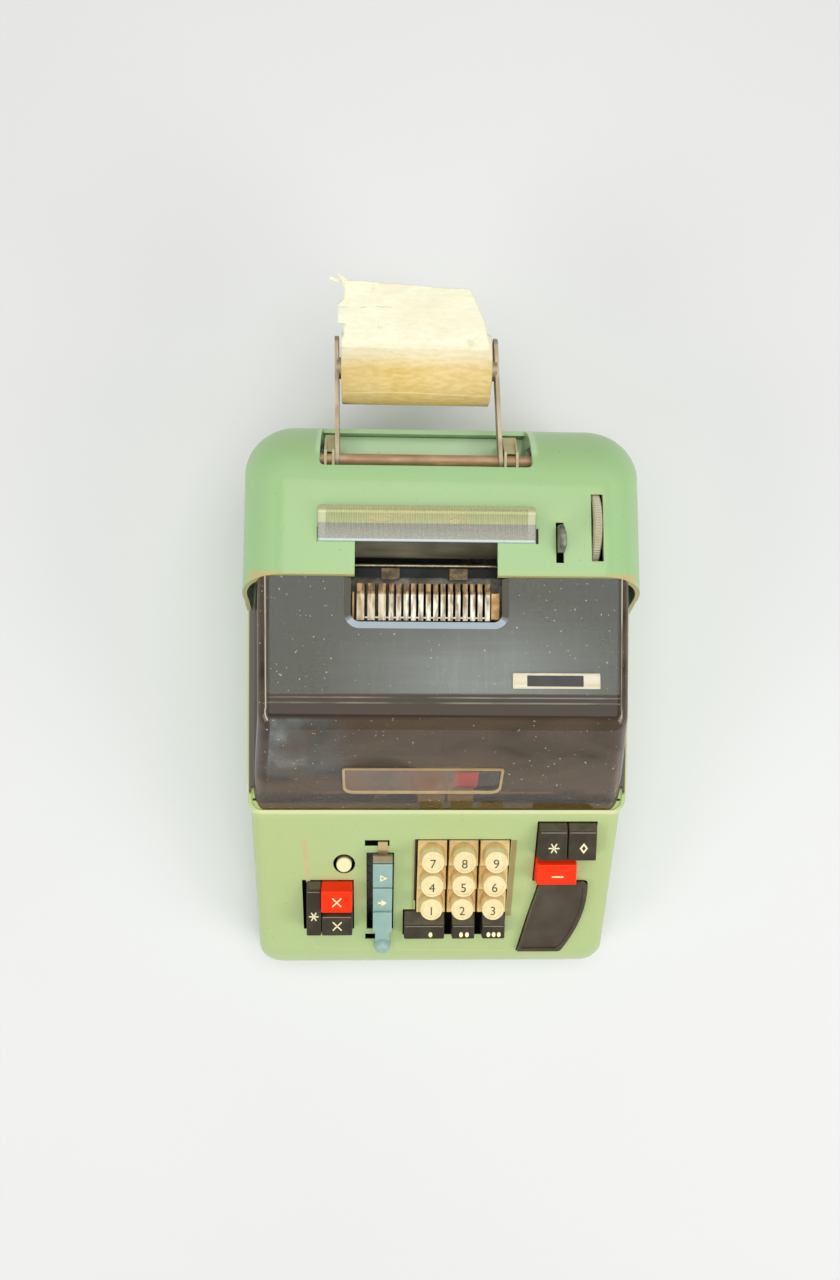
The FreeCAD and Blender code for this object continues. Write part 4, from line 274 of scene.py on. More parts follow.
def deck_coat(s, patches):
    """Base shell: paler deck, painted shade on the inner faces, painted highlights on the lip and rim round
    the hood, painted shade beside the hood's wall, grime in the corners and round the low edge.
    """
    x, y, z = s.axes()
    nx, _, nz = s.normal()
    side = s.apart(x)
    facing_up = s.step(nz, 0.1, 0.6)
    front = s.times(s.ramp(y, HOOD_FOOT_Y + 34, HOOD_FOOT_Y + 22), facing_up)
    body = s.blend(front, COVER_GREEN, s.blend(patches, DECK_GREEN, DECK_GREEN_PATCH))
    # painted shade on the inner faces, under the deck's surface and inside its border, or turned inwards
    # further back; those that face left get a paler brown as painted light
    depth = s.minus(s.plus(s.times(y, math.tan(DECK_ANGLE)), deck_z(0.0) * MM), z)
    central = s.times(s.ramp(side, 106.0, 105.2),
                      s.band(y, FRONT_Y + 13.9, FRONT_Y + 14.6, HOOD_FOOT_Y - 1.4, HOOD_FOOT_Y - 0.6))
    inward = s.most(s.step(s.times(nx, s.math("SIGN", x)), -0.6, -0.8), s.step(nz, -0.3, -0.5))
    inside = s.most(central, s.times(inward, s.ramp(z, 80.0, 78.0)))
    inside = s.times(inside, s.ramp(depth, 0.4, 1.2), s.ramp(z, 6.2, 6.8))
    body = s.over(body, s.blend(s.step(nx, -0.3, -0.9), (52, 46, 36), (168, 140, 98)), inside)
    # brown edges to the left and right of the digit pad's opening, and painted shade in the gap inside the
    # left one
    left = s.times(s.band(x, -14.6, -14.2, -13.4, -13.0), 0.45)
    right = s.times(s.band(x, 47.4, 47.8, 50.8, 51.2), 0.85)
    along = s.band(y, PAD_FRONT, PAD_FRONT + 0.3, PAD_REAR - 0.3, PAD_REAR)
    body = s.over(body, (156, 136, 88), s.times(s.most(left, right), along))
    gap = s.times(s.band(x, -13.4, -13.0, -11.6, -11.2),
                  s.band(y, PAD_FRONT + 12.0, PAD_FRONT + 12.4, PAD_REAR + 0.3, PAD_REAR + 0.4))
    body = s.over(body, (70, 50, 34), gap)
    # grime in the corner before the hood's foot, and a painted highlight on the lip round the hood
    foot = s.times(s.band(y, HOOD_FOOT_Y - 7, HOOD_FOOT_Y - 1.5, HOOD_FOOT_Y + 1, HOOD_FOOT_Y + 3),
                   s.patches(0.3, 0.7, 70.0, 3.0, (0.25, 1.0, 1.0)), facing_up)
    body = s.over(body, (226, 214, 150), foot, 0.45)
    lip = s.times(s.band(y, HOOD_FOOT_Y - 3.4, HOOD_FOOT_Y - 2.9, HOOD_FOOT_Y - 0.6, HOOD_FOOT_Y - 0.1),
                  facing_up)
    body = s.over(body, (236, 238, 196), lip, 0.5)
    # the rim beside the hood: a painted highlight on its outer edge, painted shade next to the hood's wall
    rim = s.times(s.ramp(z, 98.5, 99.5), s.ramp(side, 110.8, 111.4),
                  s.ramp(y, COVER_FRONT + 12.0, COVER_FRONT + 10.0))
    body = s.over(body, s.blend(s.ramp(side, 113.8, 114.4), (74, 68, 50), (206, 204, 150)), rim)
    low = s.times(s.ramp(z, 22.0, 6.0), s.patches(0.42, 0.66, 38.0, 5.0))
    return s.over(body, (140, 130, 88), low, 0.4)


def enamel(name, coat):
    """Green enamel: orange peel, faint yellowing in patches, small dark specks."""
    s = Shader(name, Coat_Weight=0.25, Coat_Roughness=0.12, Specular_IOR_Level=0.45)
    body = coat(s, s.patches(0.38, 0.66, 9.0, 4.0))
    s.colour(s.over(body, (120, 118, 84), s.patches(0.70, 0.74, 420.0, 2.0), 0.25))
    s.rough(s.noise(26.0, 4.0), 0.30, 0.46)
    s.bump(s.noise(700.0, 2.0), 0.06)
    return s.material


def smoked(name):
    """Dark translucent acrylic: its top greyed by fine scratches and dust with a painted reflection of the
    ceiling, its face nearly clean; painted highlights on its roundings and brow, painted reflections on the
    type window's bevels, painted shade on the flat strip in front of the grey.
    """
    s = Shader(name, IOR=1.49, Specular_IOR_Level=0.15)
    x, y, z = s.axes()
    nx, ny, nz = s.normal()
    slant = s.apart(nx)
    flat = s.step(nz, 0.950, 0.984)
    top = s.times(flat, s.ramp(y, BROW_Y - 0.5, BROW_Y + 0.6))
    not_top = s.minus(1.0, top)
    # dust and scratches on the top with a painted reflection of the ceiling, thinner to the rear and to both
    # sides; the lit grey in the middle is a painted highlight
    wear = s.patches(0.30, 0.72, 15.0, 6.0, (1.0, 1.7, 1.0))
    lengthwise = s.patches(0.42, 0.70, 90.0, 5.0, (0.16, 3.2, 1.0), 0.4)
    crosswise = s.patches(0.50, 0.72, 120.0, 4.0, (3.0, 0.2, 1.0), 0.3)
    film = s.plus(s.times(wear, 0.26), s.times(s.plus(lengthwise, crosswise), 0.07), 0.44)
    aside = s.times(s.ramp(s.apart(x, 12.0), 20.0, 110.0), 0.22)
    behind = s.times(s.ramp(y, -25.0, 50.0), 0.20)
    film = s.times(film, s.minus(1.0, s.plus(aside, behind)), top)
    lit = s.times(s.ramp(s.apart(x, 22.0), 95.0, 15.0), s.ramp(y, 35.0, 0.0))
    grey = s.blend(lit, HOOD_GREY, HOOD_GREY_LIT)
    # single hairs, swirls and specks
    hair = s.minus(1.0, s.step(s.cells(34.0, (0.25, 2.6, 1.0)), 0.0, 0.012))
    swirl = s.minus(1.0, s.step(s.cells(52.0, (1.9, 0.5, 1.0)), 0.0, 0.010))
    marks = s.times(s.most(hair, swirl), s.patches(0.50, 0.60, 22.0), 0.55)
    specks = s.times(s.patches(0.735, 0.76, 520.0, 1.0), 0.8)
    # painted highlights: a line along the side roundings, and two bright lines along the brow
    line = s.times(s.step(nz, 0.90, 0.925), s.step(nz, 0.955, 0.935), s.step(slant, 0.14, 0.2),
                   s.patches(0.35, 0.5, 40.0, 3.0, (1.0, 0.3, 1.0)))
    brow = s.most(s.band(y, BROW_Y - 2.6, BROW_Y - 2.3, BROW_Y - 1.8, BROW_Y - 1.5),
                  s.band(y, BROW_Y - 5.6, BROW_Y - 5.2, BROW_Y - 4.7, BROW_Y - 4.3))
    brow = s.times(brow, s.step(nz, 0.90, 0.95), s.patches(0.42, 0.60, 18.0, 3.0, (1.0, 3.0, 0.2)))
    line = s.most(line, s.times(brow, 0.55))
    pale = s.most(marks, specks, line, clamp=True)
    # haze on the face, in broad smears; it stays off the strip in front of the counting wheels
    swell = s.patches(0.36, 0.66, 13.0, 2.0, (1.0, 1.4, 1.4), 1.6)
    haze = s.times(s.ramp(z, 103.0, 116.0), s.plus(s.times(swell, 0.26), 0.20), not_top)
    # pale grey patches high on the face's left
    pale_face_patches = s.times(s.ramp(x, -50.0, -78.0), s.patches(0.30, 0.62, 30.0, 4.0, (1.0, 0.6, 1.0)),
                    s.ramp(z, 114.0, 126.0), s.ramp(y, -28.0, -32.0), s.step(slant, 0.12, 0.05))
    wall = s.step(slant, 0.70, 0.90)
    # painted reflections on the bevels round the type window: pale blue-grey in front, darker grey at the
    # sides
    near = s.ramp(z, 129.0, 132.0)
    front_bevel_reflection = s.times(s.step(ny, 0.26, 0.42), near)
    side_bevel_reflection = s.times(s.step(slant, 0.3, 0.45), s.ramp(s.apart(x, TYPE_WINDOW_X), 58.0, 56.0), near)
    # painted shade: the flat strip in front of the grey top is painted as dark as the face
    strip = s.times(flat, not_top)
    body = s.blend(top, SMOKE_BROWN, grey)
    body = s.over(body, HOOD_HAZE, s.times(haze, 2.2, clamp=True))
    for colour, share in (((156, 164, 162), pale_face_patches), ((72, 62, 48), wall), ((196, 198, 186), pale),
                          ((96, 94, 84), side_bevel_reflection), ((184, 196, 202), front_bevel_reflection),
                          ((66, 56, 42), s.times(strip, s.minus(1.0, line)))):
        body = s.over(body, colour, share)
    s.colour(body)
    # the side walls and the clean strip before the film let little light through as well
    cover = s.most(s.plus(film, haze), pale, side_bevel_reflection, front_bevel_reflection, s.times(wall, 0.85),
                   s.times(pale_face_patches, 0.75), s.times(strip, 0.75))
    s.clear(s.minus(1.0, s.times(cover, 1.08), clamp=True))
    s.rough(film, 0.05, 0.40)
    s.bump(s.noise(240.0, 4.0, (0.2, 2.0, 1.0)), 0.01)
    return s.material


def lens_acrylic(name):
    """Clear lens with a brownish bloom over its left two thirds."""
    s = Shader(name, IOR=1.49, Specular_IOR_Level=0.06)
    x = s.axes()["X"]
    bloom = s.times(s.ramp(x, 12.0, 4.0), s.patches(0.25, 0.75, 60.0, 4.0, (0.6, 0.3, 0.3)))
    haze = s.plus(s.times(bloom, 0.34), 0.02)
    s.colour(s.blend(s.times(haze, 2.6, clamp=True), (250, 236, 214), (176, 124, 84)))
    s.clear(s.minus(1.0, haze))
    s.rough(bloom, 0.05, 0.2)
    s.bump(s.noise(320.0, 3.0), 0.05)
    return s.material


def tear_acrylic(name):
    """Yellowed clear acrylic: greenish over the enamel, grey over the strip, pale along its front lip, with
    a painted highlight along its toothed crest.
    """
    s = Shader(name, IOR=1.45, Coat_Weight=0.2, Coat_Roughness=0.15)
    y = s.axes()["Y"]
    front = s.ramp(y, TEAR_FRONT + 10.2, TEAR_FRONT + 9.9)
    lip = s.ramp(y, TEAR_FRONT + 1.5, TEAR_FRONT + 1.1)
    # painted highlight along the teeth's crest
    crest = s.band(y, TEAR_REAR - 4.5, TEAR_REAR - 4.2, TEAR_REAR - 3.2, TEAR_REAR - 2.9)
    frame_line = s.ramp(y, TEAR_REAR - 1.0, TEAR_REAR - 0.7)
    mottle = s.patches(0.35, 0.68, 120.0, 4.0, (0.4, 1.0, 1.0))
    speckle = s.patches(0.46, 0.74, 1300.0, 3.0)
    rear_tint = s.blend(mottle, (196, 204, 152), (212, 206, 158))
    strip_tint = s.blend(speckle, (146, 146, 132), (172, 167, 144))
    body = s.blend(front, rear_tint, strip_tint)
    body = s.over(body, (212, 214, 168), crest, 0.75)
    body = s.over(body, (208, 200, 148), frame_line, 0.8)
    s.colour(s.over(body, (196, 208, 210), lip))
    s.clear(s.minus(0.22, s.times(s.most(front, crest), 0.18)))
    s.rough(mottle, 0.12, 0.3)
    s.bump(s.noise(320.0, 3.0), 0.05)
    return s.material


def metal(name, clean, stained, rough, grain=EVEN, stain_scale=60.0, amount=(0.45, 0.7),
          metallic=0.9):
    """Bare metal with a grain along one axis and patches of tarnish or rust."""
    s = Shader(name, Metallic=metallic)
    stain = s.patches(*amount, stain_scale, 6.0)
    streak = s.noise(420.0, 4.0, grain)
    fine = s.blend(s.step(streak, 0.3, 0.7), stained, clean)
    s.colour(s.over(fine, stained, stain, 0.8))
    s.rough(s.plus(s.times(stain, 0.5), s.times(streak, 0.5)), rough, rough + 0.25)
    s.bump(streak, 0.12)
    return s.material


def plastic(name, colour, worn, rough=0.35, texture=900.0, coat=0.0, shine=0.5):
    """Moulded plastic: faint mottling, dulled wear patches and a fine surface texture."""
    s = Shader(name, Coat_Weight=coat, Coat_Roughness=0.15, Specular_IOR_Level=shine)
    wear = s.patches(0.45, 0.72, 95.0, 5.0)
    s.colour(s.over(colour, worn, wear, 0.55))
    s.rough(wear, rough, rough + 0.18)
    s.bump(s.noise(texture, 2.0), 0.10)
    return s.material


def ivory_key(name):
    """Cream round button on a tan block; the two meet just above the block's top. Below the deck the block
    darkens as painted shade.
    """
    s = Shader(name, Coat_Weight=0.15, Coat_Roughness=0.2)
    _, y, z = s.axes()
    lift = s.minus(z, s.plus(s.times(y, math.tan(DECK_ANGLE)), deck_z(0.0) * MM))
    button = s.ramp(lift, 5.2, 6.6)
    mottle = s.patches(0.4, 0.7, 210.0, 4.0)
    block = s.blend(mottle, BLOCK_TAN, BLOCK_TAN_WORN)
    # painted shade: the block darkens below the deck
    below_deck_shade = s.ramp(lift, 0.5, -4.0)
    block = s.blend(below_deck_shade, block, (128, 98, 62))
    cream = s.blend(mottle, BUTTON_CREAM, BUTTON_CREAM_WORN)
    s.colour(s.blend(button, block, cream))
    s.rough(mottle, 0.32, 0.5)
    s.bump(s.noise(800.0, 2.0), 0.08)
    return s.material


def black_key(name):
    """Satin black cap, with painted light on its faces sloping to the rear: a lighter brown-black."""
    s = Shader(name, Specular_IOR_Level=0.18)
    # painted light: faces sloping to the rear are a lighter brown-black
    rear = s.step(s.normal()["Y"], 0.02, 0.12)
    wear = s.patches(0.42, 0.72, 120.0, 5.0)
    top = s.blend(s.times(wear, 0.6), BLACK_CAP, BLACK_CAP_WORN)
    s.colour(s.blend(s.times(rear, 0.9), top, s.blend(wear, (88, 82, 60), (66, 62, 48))))
    s.rough(wear, 0.42, 0.6)
    s.bump(s.noise(900.0, 2.0), 0.10)
    return s.material


def plus_finish(name):
    """Brown-black plastic of the plus bar, its steep faces, the raised lip among them, paler in patches."""
    s = Shader(name, Coat_Weight=0.3, Coat_Roughness=0.12)
    wear = s.patches(0.40, 0.70, 60.0, 5.0)
    body = s.blend(s.times(wear, 0.6), (70, 60, 47), (88, 77, 62))
    side = s.times(s.step(s.normal()["Z"], 0.75, 0.35), s.patches(0.35, 0.6, 90.0))
    s.colour(s.over(body, (150, 142, 112), side, 0.6))
    s.rough(wear, 0.28, 0.46)
    s.bump(s.noise(900.0, 2.0), 0.08)
    return s.material


def aged_paper(name):
    """Thin paper, tanner towards the front of the roll, with fibres and foxing."""
    s = Shader(name, Specular_IOR_Level=0.2)
    x, y, z = s.axes()
    front_tan = s.ramp(y, ROLL_Y + 11, ROLL_Y - 5)
    soft = s.plus(front_tan, s.times(s.minus(s.noise(24.0, 4.0), 0.5), 0.5), clamp=True)
    fibre = s.noise(520.0, 5.0, (0.35, 1.0, 1.0))
    grain = s.step(fibre, 0.35, 0.65)
    pale = s.blend(grain, PAPER_PALE, PAPER_CREAM)
    body = s.over(pale, s.blend(grain, PAPER_TAN, PAPER_TAN_DARK), soft)
    foxing = s.patches(0.68, 0.76, 110.0, 3.0)
    body = s.over(body, (196, 160, 96), foxing, 0.25)
    # the edge of a turn, a little in front of the roll's top
    wave = s.times(s.math("SINE", s.times(x, 60.0)), 0.5 * MM)
    seam = s.apart(s.plus(y, wave), ROLL_Y - 16.4)
    seam = s.times(s.ramp(seam, 0.4, 0.1), s.ramp(z, ROLL_Z, ROLL_Z + 4))
    s.colour(s.over(body, (242, 222, 168), seam, 0.6))
    s.rough(fibre, 0.75, 0.95)
    s.bump(fibre, 0.12)
    s.bump(s.noise(22.0, 2.0), 0.25, 0.0008)
    return s.material


def layered_paper(name):
    """The roll's end face: hundreds of edges as fine rings."""
    s = Shader(name, Specular_IOR_Level=0.2)
    _, y, z = s.axes()
    dy = s.minus(y, ROLL_Y * MM)
    dz = s.minus(z, ROLL_Z * MM)
    radius = s.math("SQRT", s.plus(s.times(dy, dy), s.times(dz, dz)))
    rings = s.math("SINE", s.times(radius, 9000.0))
    share = s.step(rings, -1.0, 1.0)
    s.colour(s.blend(share, (150, 124, 80), (222, 200, 146)))
    s.rough(share, 0.8, 0.95)
    s.bump(share, 0.4, 0.0003)
    return s.material


def type_metal(name):
    """Type bars: nickel strips in front, bronze steps behind, with ink and rust between."""
    s = Shader(name, Metallic=0.55)
    x, y, z = s.axes()
    back = s.ramp(y, TYPE_FRONT + 14.4, TYPE_FRONT + 15.2)
    streak = s.noise(300.0, 5.0, (1.6, 0.35, 1.0))
    silver = s.blend(s.step(streak, 0.42, 0.66), (212, 208, 190), (140, 118, 84))
    wide = s.ramp(x, -30.8, -32.2)
    silver = s.over(silver, (164, 140, 98), wide, 0.5)
    bronze = s.blend(s.step(streak, 0.4, 0.6), (150, 122, 82), (92, 70, 44))
    top = s.ramp(z, 133.5, 134.8)
    body = s.blend(back, silver, bronze)
    s.colour(s.blend(top, (66, 58, 44), body))
    s.rough(streak, 0.3, 0.6)
    s.bump(streak, 0.2, 0.0003)
    return s.material


def roller_rubber(name):
    """Platen: grey-brown, worn pale by the type in streaks along the roller."""
    s = Shader(name)
    worn = s.patches(0.35, 0.7, 36.0, 6.0, (0.5, 2.0, 2.0))
    s.colour(s.blend(worn, (88, 84, 66), (146, 138, 112)))
    s.rough(worn, 0.38, 0.62)
    s.bump(s.noise(520.0, 4.0), 0.12)
    return s.material


def lever_finish(name):
    """Blackened lever, its face polished grey by the thumb."""
    s = Shader(name, Metallic=0.35)
    worn = s.times(s.ramp(s.axes()["Z"], 142.5, 150.0), s.patches(0.3, 0.62, 140.0, 5.0))
    s.colour(s.blend(worn, (48, 46, 40), (168, 166, 148)))
    s.rough(worn, 0.35, 0.5)
    s.bump(s.noise(460.0, 3.0), 0.1)
    return s.material


def blue_grey(name):
    """Blue-grey plastic of the shift unit, stained brown on its rear block and tongue."""
    s = Shader(name, Coat_Weight=0.15, Coat_Roughness=0.2)
    y = s.axes()["Y"]
    rear = s.ramp(y, FRONT_Y + 82.4, FRONT_Y + 83.4)
    mottle = s.patches(0.42, 0.72, 120.0, 5.0)
    blue = s.blend(s.times(mottle, 0.6), BLUE_KEY, BLUE_KEY_WORN)
    brown = s.blend(mottle, (158, 138, 102), (128, 122, 96))
    tongue = s.ramp(y, FRONT_Y + 89.0, FRONT_Y + 90.0)
    brown = s.over(brown, (206, 180, 132), tongue, 0.8)
    s.colour(s.blend(rear, blue, brown))
    s.rough(mottle, 0.34, 0.5)
    s.bump(s.noise(800.0, 2.0), 0.08)
    return s.material


COVER_GREEN = (160, 199, 140)
COVER_GREEN_PATCH = (163, 197, 134)
COVER_GREEN_TOP_SHADE = (154, 187, 122)
DECK_GREEN = (179, 200, 139)
DECK_GREEN_PATCH = (182, 197, 133)
SMOKE_BROWN = (196, 168, 136)
BLOCK_TAN = (234, 202, 136)
BLOCK_TAN_WORN = (218, 184, 118)
BUTTON_CREAM = (240, 224, 172)
BUTTON_CREAM_WORN = (230, 210, 156)
BLACK_CAP = (60, 54, 42)
BLACK_CAP_WORN = (80, 72, 56)
# HOOD_GREY is dust with a painted reflection of the ceiling; HOOD_GREY_LIT is a painted highlight
HOOD_GREY = (98, 101, 86)
HOOD_GREY_LIT = (146, 151, 145)
HOOD_HAZE = (82, 68, 50)
PAPER_PALE = (251, 250, 224)
PAPER_CREAM = (247, 243, 208)
PAPER_TAN = (226, 198, 128)
PAPER_TAN_DARK = (212, 182, 110)
BLUE_KEY = (146, 178, 168)
BLUE_KEY_WORN = (164, 190, 176)

DECK_ENAMEL = enamel("deck_enamel", deck_coat)
COVER_ENAMEL = enamel("cover_enamel", cover_coat)
SMOKED = smoked("smoked_acrylic")
LENS_CLEAR = lens_acrylic("lens_acrylic")
BAR_CLEAR = tear_acrylic("tear_bar_acrylic")
IVORY = ivory_key("ivory_key")
BLACK = black_key("black_key")
PLUS_BROWN = plus_finish("plus_bar_plastic")
RED = plastic("red_key", (252, 50, 4), (246, 60, 12), 0.38, shine=0.2)
BLUE = blue_grey("blue_key")
WHITE = plastic("white_button", (242, 228, 180), (228, 212, 160), 0.3, coat=0.2)
BLACK_PLASTIC = plastic("black_plastic", (40, 38, 34), (62, 58, 50), 0.4)
# near-black as painted shade: the keyboard frame seen through the deck's openings, and the tear bar's end
# slots
SHADE_BLACK = plastic("painted_shade_black", (22, 20, 17), (34, 31, 26), 0.6)
INK = plastic("numeral_ink", (62, 44, 28), (80, 60, 40), 0.5)
SYMBOL = plastic("symbol_inlay", (246, 238, 188), (232, 222, 170), 0.4)
# pale lines along the black caps' rear edges: painted highlights
EDGE_HIGHLIGHT = plastic("painted_edge_highlight", (138, 134, 116), (104, 98, 80), 0.4)
MOTOR = plastic("motor_paint", (74, 78, 78), (92, 94, 92), 0.45, 260.0)
CREAM_PAINT = plastic("cream_paint", (184, 178, 130), (164, 156, 110), 0.45)
WHEEL_CREAM = plastic("wheel_cream", (238, 246, 178), (220, 224, 150), 0.4)
RIB_PLASTIC = plastic("wheel_plastic", (186, 178, 148), (150, 140, 108), 0.45)
ROLLER = roller_rubber("platen_rubber")
FOOT_RUBBER = plastic("foot_rubber", (44, 43, 41), (60, 58, 54), 0.75, 500.0)
RIBBON = plastic("ribbon_cloth", (24, 23, 22), (40, 38, 35), 0.7, 1200.0)
SHEET_STEEL = metal("sheet_steel", (176, 176, 168), (134, 128, 108), 0.35)
FRAME_STEEL = metal("frame_steel", (120, 120, 114), (80, 74, 60), 0.4)
SCREW_STEEL = metal("screw_steel", (182, 180, 170), (140, 132, 112), 0.3)
BRONZE = metal("bronze", (118, 102, 68), (66, 54, 34), 0.4, stain_scale=160.0, metallic=0.5)
CHROME = metal("chrome_wire", (176, 168, 140), (120, 110, 84), 0.25)
SHAFT_STEEL = metal("shaft_steel", (186, 184, 176), (140, 132, 112), 0.25, (0.1, 1.0, 1.0))
GEAR_STEEL = metal("gear_steel", (150, 148, 140), (98, 92, 76), 0.35)
ROD_RUST = metal("rod_steel", (206, 176, 140), (170, 132, 98), 0.45, (0.12, 1.0, 1.0), 46.0,
                 (0.35, 0.6), 0.35)
ARM_STEEL = metal("arm_steel", (184, 172, 146), (150, 132, 104), 0.4, (1.0, 0.12, 1.0), 70.0,
                  (0.45, 0.7), 0.5)
PLATE = metal("plate_metal", (206, 202, 184), (184, 172, 138), 0.42, (0.08, 1.0, 1.0), 120.0,
              (0.55, 0.75), 0.6)
STRIP_METAL = metal("tear_strip_metal", (178, 168, 140), (138, 122, 90), 0.4, (0.1, 1.0, 1.0), 150.0,
                    (0.4, 0.62), 0.6)
TYPE_METAL = type_metal("type_steel")
LEVER = lever_finish("lever_finish")
FLAG = plastic("flag_red", (255, 44, 12), (240, 48, 18), 0.4)
PAPER = aged_paper("paper")
PAPER_END = layered_paper("paper_end")

for material, nodes in (
        (DECK_ENAMEL, "base_shell"), (COVER_ENAMEL, "rear_cover"), (SMOKED, "smoked_hood"),
        (LENS_CLEAR, "magnifier_window"), (PLATE, "name_plate"), (SHEET_STEEL, "base_plate"),
        (SCREW_STEEL, "case_screws"), (FOOT_RUBBER, "rubber_feet"), (SHADE_BLACK, "keyboard_frame"),
        (FRAME_STEEL, "side_frame_left side_frame_right type_guide_comb ribbon_plate"),
        (SHAFT_STEEL, "cross_rods platen_shaft"), (BRONZE, "ribbon_guides"), (RIBBON, "ink_ribbon"),
        (CHROME, "paper_bail"), (CREAM_PAINT, "rod_brackets"), (MOTOR, "motor_housing"),
        (BLACK_PLASTIC, "power_inlet ribbon_spool_left ribbon_spool_right"), (WHITE, "clear_button"),
        (PLUS_BROWN, "plus_bar"), (BLUE, "shift_lever triangle_key arrow_key"), (ROLLER, "platen"),
        (ROD_RUST, "arm_rod"), (ARM_STEEL, "roll_arms"), (FLAG, "column_indicator"),
        (TYPE_METAL, "type_bars"), (GEAR_STEEL, "pin_carriage drive_shaft motor_rotor register_wheels"),
        (BLACK, "zero_key double_zero_key triple_zero_key total_key subtotal_key"),
        (BLACK, "product_total_key times_key"),
        (RED, "negative_times_key minus_key"),
        (IVORY, " ".join(f"digit_key_{digit}" for digit in range(1, 10)))):
    for node in nodes.split():
        slots = frame["nodes"][node].data.materials
        slots.clear()
        slots.append(material)


# ---- pieces ----
def piece(name, mesh, material, body, smooth=False):
    """Object from a finished mesh whose points are in metres in the row frame."""
    mesh.name = name
    obj = bpy.data.objects.new(name, mesh)
    bpy.context.scene.collection.objects.link(obj)
    for entry in material if isinstance(material, (list, tuple)) else [material]:
        mesh.materials.append(entry)
    for polygon in mesh.polygons:
        polygon.use_smooth = smooth
    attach(obj, body)
    return obj


def built(points, faces, marks=None):
    """Mesh from points in millimetres, with outward faces."""
    mesh = bpy.data.meshes.new("mesh")
    mesh.from_pydata([tuple(c * MM for c in p) for p in points], [], faces)
    if marks:
        for polygon, mark in zip(mesh.polygons, marks):
            polygon.material_index = mark
    work = bmesh.new()
    work.from_mesh(mesh)
    bmesh.ops.recalc_face_normals(work, faces=work.faces)
    work.to_mesh(mesh)
    work.free()
    return mesh


def soften(obj, width, segments=2, angle=35.0):
    """Bevel the hard edges, so that they catch the light."""
    modifier = obj.modifiers.new("edges", "BEVEL")
    modifier.width = width * MM
    modifier.segments = segments
    modifier.limit_method = "ANGLE"
    modifier.angle_limit = math.radians(angle)
    return obj


def skin(rings, closed=False):
    """Points and faces of a solid over rings with the same number of points. Its two ends are capped or,
    where it is closed, joined to each other."""
    width = len(rings[0])
    last = (len(rings) - 1) * width
    faces = [] if closed else [tuple(range(width)), tuple(range(last, last + width))]
    for row in range(len(rings) if closed else len(rings) - 1):
        here, there = row * width, (row + 1) % len(rings) * width
        for i in range(width):
            j = (i + 1) % width
            faces.append((here + i, here + j, there + j, there + i))
    return [p for ring in rings for p in ring], faces


class Sheaf:
    """Collects several closed solids into one mesh."""

    def __init__(self):
        self.points = []
        self.faces = []
        self.marks = []

    def add(self, points, faces, mark=0):
        base = len(self.points)
        self.points += [tuple(p) for p in points]
        self.faces += [tuple(base + index for index in face) for face in faces]
        self.marks += [mark] * len(faces)

    def prism(self, outline, low, high, frame_of, mark=0):
        """Solid between two levels over an outline (u, v); frame_of places (u, v, w)."""
        rings = [[frame_of(u, v, w) for u, v in outline] for w in (low, high)]
        self.add(*skin(rings), mark)

    def ring(self, outer, inner, low, high, frame_of, mark=0):
        """Solid between two outlines with the same number of corners."""
        rings = [[frame_of(u, v, w) for u, v in line] for line, w in
                 ((outer, low), (outer, high), (inner, high), (inner, low))]
        self.add(*skin(rings, closed=True), mark)

    def box(self, x0, x1, y0, y1, z0, z1, mark=0):
        self.prism([(x0, y0), (x1, y0), (x1, y1), (x0, y1)], z0, z1, level, mark)

    def mesh(self):
        return built(self.points, self.faces, self.marks)


def tilted(origin, angle):
    """Places (u, v, w) on a plane through origin that rises by angle towards the rear."""
    ox, oy, oz = origin
    c, s = math.cos(angle), math.sin(angle)
    return lambda u, v, w: (ox + u, oy + v * c - w * s, oz + v * s + w * c)


def arc(cx, cy, radius, start, end, count):
    """Points of an arc from start to end, in degrees, in count steps."""
    turns = [math.radians(start + (end - start) * i / count) for i in range(count + 1)]
    return [(cx + radius * math.cos(turn), cy + radius * math.sin(turn)) for turn in turns]


def stroke(u0, v0, u1, v1, width):
    """Outline of a straight stroke with round ends."""
    heading = math.degrees(math.atan2(v1 - v0, u1 - u0))
    return (arc(u1, v1, width / 2, heading - 90, heading + 90, 6) +
            arc(u0, v0, width / 2, heading + 90, heading + 270, 6))


def rounded(x0, x1, y0, y1, radius, count=5):
    """Outline of a rectangle with round corners; radius is one number or four, from the lower left."""
    r = radius if isinstance(radius, (list, tuple)) else [radius] * 4
    return (arc(x0 + r[0], y0 + r[0], r[0], 180, 270, count) +
            arc(x1 - r[1], y0 + r[1], r[1], 270, 360, count) +
            arc(x1 - r[2], y1 - r[2], r[2], 0, 90, count) +
            arc(x0 + r[3], y1 - r[3], r[3], 90, 180, count))


# ---- numerals and symbols on the keys ----
INLAY_LOW, INLAY_HIGH = -0.15, 0.08
DIGIT_SIZE = 8.2
PAD_X, PAD_Y = 17.6, FRONT_Y + 96.5  # middle column, rear edge of the rear row
PITCH_X, PITCH_Y = 19.7, 17.3
KEY_GAP = 0.35
HALF_KEY = (PITCH_Y - KEY_GAP) / 2
BLOCK_LIFT = 2.2  # the block's top above the deck
BUTTON_SEAT = 7.9 + KEY_GAP  # from the block's front to the button's axis
BUTTON_HEIGHT = 9.0
BUTTON_LEAN = 3.4  # how far the button's crown is in front of its seat
DISH_DEPTH = 0.4
DIGIT_DROP = 1.5  # how far the digit is below the crown's middle


